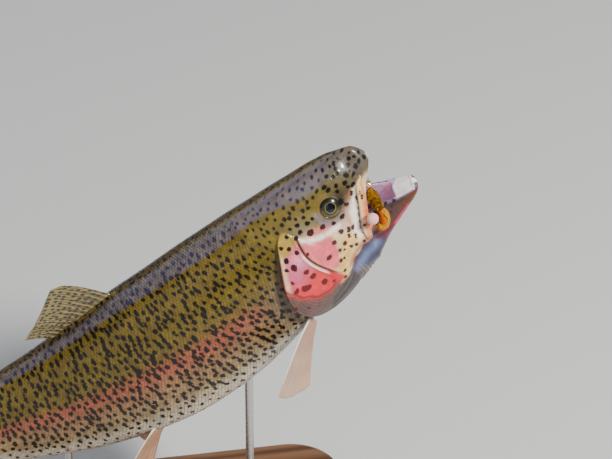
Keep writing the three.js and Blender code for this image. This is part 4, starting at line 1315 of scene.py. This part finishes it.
def add_uv(obj, per_vertex):
    layer = obj.data.uv_layers.new(name="OFBake")
    corner = np.empty(len(obj.data.loops), np.int32)
    obj.data.loops.foreach_get("vertex_index", corner)
    layer.data.foreach_set("uv", per_vertex[corner].astype(np.float32).ravel())


def build_scales(material):
    for side, word in ((-1, "right"), (1, "left")):
        s, t = scale_roots()
        for part, pick in (("back", t > 0), ("belly", t <= 0)):
            rows = [(s[pick], t[pick])]
            if side < 0:
                rows.append(midline_roots(part == "back"))
            obj = scale_piece(f"scales_{word}_{part}", *(np.concatenate(q) for q in zip(*rows)), side)
            own(obj, material, "skin")


# ------------------------------------------------------------------ fins


def ray_relief(u, v, rays, first_split=0.35, second_split=0.68):
    """How high a fin ray stands at (u, v), 0 to 1; each ray parts in two, then in four."""
    place = u * rays
    cell = place - np.floor(place) - 0.5
    one = ramp(v, first_split, first_split + 0.3) * 0.24
    two = ramp(v, second_split, second_split + 0.28) * 0.115
    near = np.full(np.broadcast(u, v).shape, 9.0)
    for a in (-1, 1):
        for b in (-1, 1):
            near = np.minimum(near, np.abs(cell - a * one - b * two))
    width = 0.2 - 0.07 * v
    return bump(near, width) * (1 - 0.35 * v)


def fin_piece(name, node, point, lean, rays, across, out, ripple, material,
              thick=(2.2, 0.42), ridge=0.5):
    """A rayed fin. point(u, v) gives its middle surface, and lean is the direction across it."""
    u = np.linspace(0, 1, across)[:, None] + np.zeros((1, out))
    v = np.linspace(0, 1, out)[None, :] ** 0.9 + np.zeros((across, 1))
    rays_up = ray_relief(u, v, rays)
    reach = v * (1 - 0.035 * (1 - rays_up) * ramp(v, 0.5, 1))
    s, z, y = point(u, reach)
    s, y, z = (np.broadcast_to(q, u.shape) for q in (s, y, z))
    middle = np.stack([-s, y, z], -1)
    side = np.zeros((*u.shape, 3)) + lean
    wave = np.sin(2.3 * u * math.pi + 0.6) + 0.45 * np.sin(7.1 * u * math.pi + 2 * v)
    middle = middle + side * (ripple * v ** 1.6 * wave)[..., None]
    edge = ramp(np.minimum(np.minimum(u, 1 - u) * 14, (1 - v) * 10), 0, 1) * 0.75 + 0.25
    body = thick[1] + (thick[0] - thick[1]) * fade(v, 0.04, 0.3)
    half = 0.5 * (body * edge + ridge * rays_up * (1 - 0.6 * v) * edge)
    count = across * out
    points = np.vstack([(middle + side * (way * half)[..., None]).reshape(-1, 3) for way in (1, -1)])
    values = np.tile(np.stack([u, v, rays_up], -1).reshape(-1, 3), (2, 1))
    quads = grid_quads(across, out)[:, [0, 3, 2, 1]]
    grid = np.arange(count).reshape(across, out)
    ids = np.concatenate([grid[:, 0], grid[-1, 1:], grid[-2::-1, -1], grid[0, -2:0:-1]])
    nxt = np.roll(ids, -1)
    rim = np.stack([ids, ids + count, nxt + count, nxt], -1)
    points = points * [-1, 1, 1]
    obj = mesh_object(name, bend(*points.T), np.vstack([quads, quads[:, ::-1] + count, rim]))
    set_attribute(obj, "fin", values)
    set_attribute(obj, "body", points / 1000)
    fix_normals(obj)
    own(obj, material, "fin", node)


def fix_normals(obj):
    """Turns a closed mesh right way out."""
    mesh = obj.data
    p = coords(obj).astype(float)
    p = p - p.mean(0)
    mesh.calc_loop_triangles()
    tri = np.empty(len(mesh.loop_triangles) * 3, np.int32)
    mesh.loop_triangles.foreach_get("vertices", tri)
    a, b, c = p[tri.reshape(-1, 3)].transpose(1, 0, 2)
    if np.einsum("ij,ij->i", a, np.cross(b, c)).sum() < 0:
        mesh.flip_normals()


def fin_material(name, web, ray, spots=None, white_front=False, root=None):
    """Rays and the web between them, with rows of spots, a pale front edge or a tinted root."""
    m = Nodes(name, 0.32)
    web = linear(web)
    fin = m.attribute("fin", "Vector")
    part = m.add("ShaderNodeSeparateXYZ", {0: fin})
    u, v, rise_up = part.outputs["X"], part.outputs["Y"], part.outputs["Z"]
    where = m.attribute("body", "Vector")
    cloud = m.noise(60, 3, where)
    colour = m.tinted(m.step(cloud, 0.3, 0.7), web, (0.72, 0.7, 0.66))
    colour = m.mix(m.step(rise_up, 0.15, 0.7, 0, 0.75), colour, linear(ray))
    joints = m.math("SINE", m.times(v, 210.0))
    joints = m.times(m.step(joints, 0.6, 1.0, 0, 0.3), rise_up)
    colour = m.mix(joints, colour, (0.1, 0.08, 0.05))
    if spots:
        stretched = m.add("ShaderNodeVectorMath", {0: fin, 1: spots}, operation="MULTIPLY").outputs[0]
        cells = m.add("ShaderNodeTexVoronoi", {"Vector": stretched, "Scale": 1.0, "Randomness": 0.55},
                      voronoi_dimensions="2D")
        mark = m.step(cells.outputs["Distance"], 0.36, 0.27)
        colour = m.mix(m.times(mark, m.step(v, 0.12, 0.2)), colour, (0.02, 0.017, 0.02))
    if root:
        shaded = m.mix(m.step(cloud, 0.3, 0.7), linear(root), web)
        colour = m.mix(m.step(v, 0.52, 0.2, 0, 0.85), colour, shaded)
    if white_front:
        colour = m.mix(m.step(u, 0.09, 0.02, 0, 0.9), colour, (0.86, 0.84, 0.8))
    normal = m.bump(m.noise(900, 2, where), 0.00008, 0.4)
    return m.finish(Base_Color=colour, Normal=normal, Coat_Weight=0.6, Coat_Roughness=0.08,
                    Subsurface_Weight=0.1, Subsurface_Radius=(0.003, 0.0015, 0.001),
                    Subsurface_Scale=0.4)


def build_fins():
    olive = (108, 94, 48), (160, 142, 84)
    spotted = fin_material("fin_spotted", *olive, spots=(17, 9, 1))
    tail = fin_material("fin_tail", *olive, spots=(26, 11, 1), root=(96, 76, 30))
    rosy = fin_material("fin_rosy", (150, 104, 84), (216, 176, 140), white_front=True)
    fin_piece("dorsal_rays", "dorsal_fin", lambda u, v: median_point(DORSAL, 1, u, v), (0, 1, 0),
              12, 109, 34, 0.7, spotted)
    fin_piece("anal_rays", "anal_fin", lambda u, v: median_point(ANAL, -1, u, v), (0, 1, 0),
              10, 91, 30, 0.6, rosy)
    fin_piece("tail_rays", "caudal_fin", tail_point, (0, 1, 0), 19, 172, 44, 1.0, tail,
              (3.4, 0.45), 0.6)
    for sign, word in ((1, "left"), (-1, "right")):
        for label, shape, rays in (("pectoral", PECTORAL, 13), ("pelvic", PELVIC, 10)):
            normal = paired_frame(sign, shape)[2]
            fin_piece(f"{label}_rays_{word}", f"{label}_fin_{word}",
                      lambda u, v, q=shape, g=sign: paired_point(g, q, u, v), normal,
                      rays, rays * 9 + 1, 34, 0.6, rosy)


# ------------------------------------------------------------------ eyes


def eye_material():
    m = Nodes("eye_wet", 0.12)
    place = m.attribute("eye", "Vector")
    part = m.add("ShaderNodeSeparateXYZ", {0: place})
    flat = m.add("ShaderNodeCombineXYZ", {0: part.outputs["X"], 1: part.outputs["Y"], 2: 0.0})
    radius = m.add("ShaderNodeVectorMath", {0: flat.outputs[0]}, operation="LENGTH").outputs["Value"]
    ahead = part.outputs["X"]
    hind = m.math("SUBTRACT", m.times(ahead, -1.0), m.times(part.outputs["Y"], 0.7))
    radius = m.math("SUBTRACT", radius, m.times(ahead, 0.1))
    grain = m.noise(26, 4, place, 0.65, 0.6)
    patch = m.noise(7, 3, place, 0.6, 0.8)
    wavy = m.math("ADD", radius, m.math("MULTIPLY_ADD", patch, 0.24, -0.12))
    colour = m.mix(m.step(grain, 0.35, 0.7), (0.008, 0.009, 0.007), (0.05, 0.048, 0.034))
    colour = m.mix(m.times(m.step(patch, 0.45, 0.65), 0.6), colour, (0.075, 0.06, 0.012))
    glow = m.times(m.step(wavy, 0.52, 0.6), m.step(hind, 0.05, 0.4))
    glow = m.times(glow, m.step(grain, 0.25, 0.6, 0.2, 0.75))
    colour = m.mix(glow, colour, (0.17, 0.125, 0.012))
    dark = m.times(m.step(wavy, 0.42, 0.52), m.step(hind, 0.1, -0.25))
    colour = m.mix(m.times(dark, 0.85), colour, (0.008, 0.007, 0.006))
    ring = m.times(m.step(radius, 0.335, 0.345), m.step(radius, 0.39, 0.365))
    ring = m.times(ring, m.step(hind, -0.5, 0.25, 0.25, 1.0))
    colour = m.mix(ring, colour, (0.36, 0.25, 0.02))
    colour = m.mix(m.step(radius, 0.345, 0.325), colour, (0.002, 0.003, 0.006))
    # a painted bluish reflection in the middle of the black pupil
    colour = m.mix(m.step(radius, 0.24, 0.06), colour, (0.003, 0.009, 0.03))
    colour = m.mix(m.step(radius, 0.7, 0.76), colour, (0.01, 0.008, 0.008))
    return m.finish(Base_Color=colour, Roughness=m.step(radius, 0.3, 0.36, 0.08, 0.3),
                    Coat_Weight=1.0, Coat_Roughness=0.02, Coat_IOR=1.34, Specular_IOR_Level=0.2)


def build_eyes():
    material = eye_material()
    for sign, word in ((1, "left"), (-1, "right")):
        centre, ahead, out, up = eye_frame(sign)
        rings, around = 40, 72
        lat = np.linspace(0, math.pi, rings)[1:-1]
        lon = np.linspace(0, 2 * math.pi, around, endpoint=False)
        r = np.sin(lat)[:, None] * (EYE["across"] - 0.15)
        a, b = (r * np.cos(lon)).ravel(), (r * np.sin(lon)).ravel()
        o = (np.cos(lat)[:, None] * (EYE["deep"] - 0.1) + np.zeros(around)).ravel()
        a, b = np.append(a, [0, 0]), np.append(b, [0, 0])
        o = np.append(o, [EYE["deep"] - 0.1, -EYE["deep"] + 0.1])
        p = centre + np.outer(a, ahead) + np.outer(b, up) + np.outer(o, out)
        quads = grid_quads(len(lat), around, True)
        k = np.arange(around)
        first, last = len(a) - 2, len(a) - 1
        low = (len(lat) - 1) * around
        caps = np.vstack([np.stack([np.full(around, first), (k + 1) % around, k], -1),
                          np.stack([np.full(around, last), low + k, low + (k + 1) % around], -1)])
        obj = mesh_object(f"eye_{word}_ball", bend(-p[:, 0], p[:, 1], p[:, 2]), [quads, caps])
        fix_normals(obj)
        set_attribute(obj, "eye", np.stack([a, b, o], 1) / 10)
        own(obj, material, "eye", f"eye_{word}")


# ------------------------------------------------------------------ small tubes: teeth, hook and fly


def tube_mesh(lines, radii, sides=6):
    """Tubes along n lines of m points (s, y, z), with a radius (mm) for each point."""
    lines, radii = np.asarray(lines, float), np.asarray(radii, float)
    n, m, _ = lines.shape
    ahead = unit(np.gradient(lines, axis=1))
    helper = np.where(np.abs(ahead[..., 2:]) < 0.9, [0, 0, 1.0], [0, 1.0, 0])
    a = unit(np.cross(helper, ahead))
    b = np.cross(ahead, a)
    turn = np.arange(sides) * 2 * math.pi / sides
    ring = a[:, :, None] * np.cos(turn)[:, None] + b[:, :, None] * np.sin(turn)[:, None]
    points = lines[:, :, None] + ring * radii[:, :, None, None]
    first = np.arange(n)[:, None, None] * m * sides
    quads = (first + grid_quads(m, sides, True)).reshape(-1, 4)
    fan = np.array([[0, i + 1, i] for i in range(1, sides - 1)])
    low = (first + fan).reshape(-1, 3)
    high = (first + (m - 1) * sides + fan[:, ::-1]).reshape(-1, 3)
    return points.reshape(-1, 3), [quads, np.vstack([low, high])]


def tube_object(name, lines, radii, sides=6, values=None):
    points, faces = tube_mesh(lines, radii, sides)
    s, y, z = points.T
    obj = mesh_object(name, bend(s, y, z), faces)
    set_attribute(obj, "body", points / 1000)
    if values is not None:
        set_attribute(obj, "shade", np.repeat(np.asarray(values, float).ravel(), sides))
    fix_normals(obj)
    return obj


TOOTH_LINE = [[-3.5, -37], [0, -36], [4, -32.5], [9, -28.5], [14, -24.5], [19, -19.5], [25, -15.5]]


def build_teeth():
    roots, ways = [], []
    for sign in (1, -1):
        for s in np.linspace(1.5, 36, 24):
            roots.append((s, sign * max(float(half_width(s)) - 2.6, 1.2), float(upper_edge(s)) + 0.5))
            ways.append((0.25, -sign * 0.25, -1))
        for s in np.linspace(-1.6, 20, 15):
            z = float(look_up(TOOTH_LINE, s))
            roots.append((s, sign * (float(jaw_width(s)) - 2.3), z - 0.5))
            ways.append((0.3, -sign * 0.2, 1))
        for s in (16, 20, 24, 29):
            roots.append((s, sign * 3.6, -33.4))
            ways.append((0.6, 0, 1))
    roots, ways = np.array(roots), np.array(ways, float)
    ways = unit(ways)
    long = rng.uniform(1.1, 1.7, len(roots))[:, None, None]
    step = np.array([0, 0.4, 0.8, 1.0])[None, :, None]
    hook = np.array([0, 0.02, 0.12, 0.22])[None, :, None] * np.array([1, 0, 0])
    lines = roots[:, None] + ways[:, None] * step * long + hook * long
    radii = np.tile([0.32, 0.24, 0.12, 0.03], (len(roots), 1))
    m = Nodes("tooth", 0.25)
    grain = m.noise(500, 2, m.attribute("body", "Vector"))
    m.finish(Base_Color=m.mix(grain, (0.75, 0.68, 0.52), (0.86, 0.82, 0.7)))
    own(tube_object("teeth", lines, radii), m.material, "mouth_lining")


def along_line(count, values):
    """The values, spread evenly over a line of count points."""
    return np.interp(np.linspace(0, 1, count), np.linspace(0, 1, len(values)), values)


def fly_line(f, count):
    return catmull(f["path"], count), along_line(count, f["radii"])


def line_axes(line):
    """Directions along and across a line at each point."""
    ahead = unit(np.gradient(line, axis=0))
    a = unit(np.cross(ahead, [0.1, 1, 0.2]))
    return ahead, a, np.cross(ahead, a)


def fuzz(name, line, radius, count, long, lean, core):
    """Short curved fibres all round a line."""
    ahead, a, b = line_axes(line)
    at = rng.uniform(0.02, 0.98, count) * (len(line) - 1)
    i = at.astype(int)
    turn = rng.uniform(0, 2 * math.pi, count)
    out = a[i] * np.cos(turn)[:, None] + b[i] * np.sin(turn)[:, None]
    root = line[i] + (line[i + 1] - line[i]) * (at - i)[:, None] + out * (radius[i] * core)[:, None]
    length = rng.uniform(0.6, 1.15, count) * long
    way = unit(out + ahead[i] * lean + rng.normal(0, 0.22, (count, 3)))
    t = np.linspace(0, 1, 4)[None, :, None]
    reach = t * length[:, None, None]
    lines = root[:, None] + way[:, None] * reach + 0.4 * ahead[i][:, None] * t * reach
    radii = np.tile([0.26, 0.24, 0.17, 0.05], (count, 1))
    return tube_object(name, lines, radii, 4, np.repeat(rng.uniform(0, 1, count), 4))


def fibre_material(name, dark, light, rough, sheen, patchy=0.5):
    m = Nodes(name, rough)
    shade = m.attribute("shade")
    grain = m.noise(700, 2, m.attribute("body", "Vector"))
    lit = m.math("MULTIPLY_ADD", shade, 0.6, 0.25 - 0.5 * patchy)
    colour = m.mix(m.math("MULTIPLY_ADD", grain, patchy, lit, clamp=True), linear(dark), linear(light))
    return m.finish(Base_Color=colour, Sheen_Weight=sheen, Specular_IOR_Level=0.2)


def lathe(name, centre, axis, profile, sides=40):
    """A turned shape: profile is (along, radius) in mm, about axis at centre on the straight body."""
    axis = unit(np.array(axis, float))
    a = unit(np.cross(axis, [0.1, 1, 0.3]))
    b = np.cross(axis, a)
    turn = np.arange(sides) * 2 * math.pi / sides
    ring = np.outer(np.cos(turn), a) + np.outer(np.sin(turn), b)
    p = np.vstack([np.array(centre) + axis * x + ring * r for x, r in profile])
    obj = mesh_object(name, bend(*p.T), grid_quads(len(profile) + 1, sides, True) % len(p))
    set_attribute(obj, "body", p / 1000)
    fix_normals(obj)
    return obj


def build_fly():
    gold = Nodes("fly_gold", 0.16)
    scratch = gold.noise(900, 3, gold.attribute("body", "Vector"))
    gold.finish(Base_Color=gold.mix(scratch, (0.95, 0.72, 0.32), (1.0, 0.86, 0.55)),
                Roughness=gold.step(scratch, 0.3, 0.8, 0.1, 0.3), Metallic=1.0)
    bead_way = np.array(FLY_BODY["path"][0]) - FLY_BEAD["at"]
    turn = np.linspace(0.35, math.pi - 0.35, 22)
    r = FLY_BEAD["radius"]
    profile = [(-r * math.cos(q), r * math.sin(q)) for q in turn] + [(r * 0.8, 0.7), (-r * 0.8, 0.7)]
    bead = lathe("fly_bead_gold", FLY_BEAD["at"], bead_way, profile)
    own(bead, gold.material, "fly_metal", "fly_bead")

    steel = Nodes("fly_hook_steel", 0.25)
    worn = steel.noise(900, 2, steel.attribute("body", "Vector"))
    steel.finish(Base_Color=steel.mix(worn, (0.5, 0.5, 0.5), (0.75, 0.75, 0.74)), Metallic=1.0)
    way = unit(bead_way)
    eye = np.array(FLY_BEAD["at"]) - way * (r + 1.0)
    q = np.linspace(0, 2 * math.pi, 17)
    across = unit(np.cross(way, [0, 1, 0]))
    loop = eye + np.outer(np.cos(q), way) * 0.95 + np.outer(np.sin(q), across) * 0.95
    own(tube_object("fly_hook_eye", [loop], np.full((1, 17), 0.3), 10), steel.material, "fly_metal")

    olive = fibre_material("fly_olive", (20, 10, 0), (184, 128, 0), 0.55, 0, 1.7)
    line, radius = fly_line(FLY_BODY, 16)
    ribs = 0.5 + 0.5 * np.cos(np.linspace(0, 8 * math.pi, 40))
    fine_line, fine_radius = fly_line(FLY_BODY, 40)
    core = tube_object("fly_body_core", [fine_line], [fine_radius * (0.74 + 0.08 * ribs)], 20,
                       0.1 + 0.7 * ribs)
    own(core, olive, "fly_dressing", "fly_body")
    own(fuzz("fly_body_fuzz", line, radius, 900, 2.3, 0.9, 0.7), olive, "fly_dressing")

    orange = fibre_material("fly_orange", (196, 54, 0), (182, 144, 0), 0.5, 0)
    line, radius = fly_line(FLY_TAIL, 30)
    _, a, b = line_axes(line)
    turn, sway = np.linspace(0, 1.2, len(line)), np.linspace(0, 9, len(line))
    taper = 0.46 * np.interp(np.linspace(0, 1, len(line)), [0, 0.1, 0.85, 1], [0.7, 1, 0.9, 0.3])
    strands, sizes, shade = [], [], []
    for ring, count in ((0.86, 26), (0.55, 16), (0.2, 6)):
        for q in range(count):
            angle = 2 * math.pi * q / count + rng.uniform(-0.1, 0.1)
            twist = angle + turn + 0.12 * np.sin(sway + q)
            off = a * np.cos(twist)[:, None] + b * np.sin(twist)[:, None]
            strands.append(line + off * (radius * ring)[:, None])
            sizes.append(taper)
            lit = np.clip(0.55 + 1.1 * (off @ [-0.75, 0.0, -0.45]), 0, 1)
            shade.append(lit * rng.uniform(0.7, 1.15))
    own(tube_object("fly_tail_strands", strands, sizes, 7, shade), orange, "fly_dressing", "fly_tail")

    pink = fibre_material("fly_pink", (236, 128, 104), (252, 214, 200), 0.5, 0.1)
    r = FLY_EGG["radius"]
    turn = np.linspace(0.12, math.pi - 0.12, 26)
    profile = [(-r * math.cos(q), r * math.sin(q) * (1 + 0.03 * math.cos(14 * q))) for q in turn]
    profile += [(r * 0.95, 0.12), (-r * 0.95, 0.12)]
    egg = lathe("fly_egg_bead", FLY_EGG["at"], (0.3, 0.2, 1), profile)
    set_attribute(egg, "shade", np.repeat(np.linspace(0.25, 1, len(profile)), 40))
    own(egg, pink, "fly_dressing", "fly_egg")


# ------------------------------------------------------------------ the stand's finishes


def finish_stand():
    wood = Nodes("walnut", 0.42)
    long = wood.stretched(3.0, 26.0, 26.0)
    grain = {"Vector": long, "Scale": 1.1, "Distortion": 7.0, "Detail": 3.0, "Detail Scale": 1.4}
    bands = wood.add("ShaderNodeTexWave", grain, wave_type="BANDS", bands_direction="Y")
    pores = wood.noise(1.0, 3, wood.stretched(60.0, 1400.0, 1400.0))
    colour = wood.mix(bands.outputs["Fac"], (0.085, 0.038, 0.018), (0.2, 0.1, 0.05))
    colour = wood.mix(wood.step(pores, 0.55, 0.75, 0, 0.5), colour, (0.035, 0.016, 0.008))
    wood.finish(Base_Color=colour, Roughness=wood.step(pores, 0.3, 0.8, 0.3, 0.5),
                Normal=wood.bump(pores, 0.0001, 0.4), Coat_Weight=0.35, Coat_Roughness=0.2)
    steel = Nodes("brushed_steel", 0.28)
    brush = steel.noise(1.0, 3, steel.stretched(300.0, 300.0, 4000.0))
    steel.finish(Base_Color=steel.mix(brush, (0.5, 0.51, 0.52), (0.68, 0.69, 0.7)),
                 Roughness=steel.step(brush, 0.3, 0.7, 0.22, 0.38),
                 Normal=steel.bump(brush, 0.00002, 0.3), Metallic=1.0)
    for node, material in (("stand_base", wood.material), ("stand_rod_front", steel.material),
                           ("stand_rod_rear", steel.material)):
        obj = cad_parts[node]
        obj.data.materials.clear()
        obj.data.materials.append(material)


# ------------------------------------------------------------------ camera, lights and floor


CAMERA_AT = (-0.1829, -1.8801, 1.5959)
CAMERA_DOWN, CAMERA_TURN = 35, -10  # degrees


def aim(obj, target):
    obj.rotation_euler = (Vector(target) - obj.location).to_track_quat("-Z", "Y").to_euler()


def build_stage():
    camera = bpy.data.objects.new("camera", bpy.data.cameras.new("camera"))
    bpy.context.collection.objects.link(camera)
    camera.data.lens, camera.data.sensor_width, camera.data.clip_end = 200, 36, 50
    camera.location = CAMERA_AT
    camera.rotation_euler = (math.radians(90 - CAMERA_DOWN), 0, math.radians(CAMERA_TURN))
    bpy.context.scene.camera = camera

    corners = [(-6, -6, 0), (6, -6, 0), (6, 6, 0), (-6, 6, 0)]
    floor = mesh_object("floor", corners, np.array([[0, 1, 2, 3]]))
    m = Nodes("floor_paint", 0.7)
    m.finish(Base_Color=m.mix(m.noise(3, 2), (0.62, 0.63, 0.63), (0.66, 0.67, 0.67)))
    floor.data.materials.append(m.material)

    for name, place, size, power, colour in (
        ("key", (1.25, -1.35, 1.9), 0.4, 98, (1.0, 0.96, 0.9)),
        ("sky", (-0.9, 0.9, 1.7), 1.2, 11, (0.84, 0.88, 1.0)),
        ("fill", (-0.8, -2.2, 0.9), 1.6, 7, (1.0, 0.98, 0.95)),
        ("front", (1.9, 0.6, 0.9), 1.0, 6, (1.0, 0.98, 0.95)),
    ):
        light = bpy.data.objects.new(name, bpy.data.lights.new(name, "AREA"))
        light.data.energy, light.data.size, light.data.color = power, size, colour
        light.location = place
        bpy.context.collection.objects.link(light)
        aim(light, (0.1, 0, 0.2))
    world = bpy.data.worlds.new("studio")
    world.use_nodes = True
    world.node_tree.nodes["Background"].inputs["Color"].default_value = (0.8, 0.83, 0.86, 1)
    world.node_tree.nodes["Background"].inputs["Strength"].default_value = 0.2
    bpy.context.scene.world = world


build_stage()
skin = build_skin()
own(skin, skin_material("trout_skin_wet", False), "skin", "head", "lower_jaw", "tongue", "trunk",
    "tail_stalk", "adipose_fin", "maxilla_left", "maxilla_right", "gill_cover_left",
    "gill_cover_right")
build_scales(skin_material("trout_scales_wet", True))
build_fins()
build_eyes()
build_teeth()
build_fly()
finish_stand()
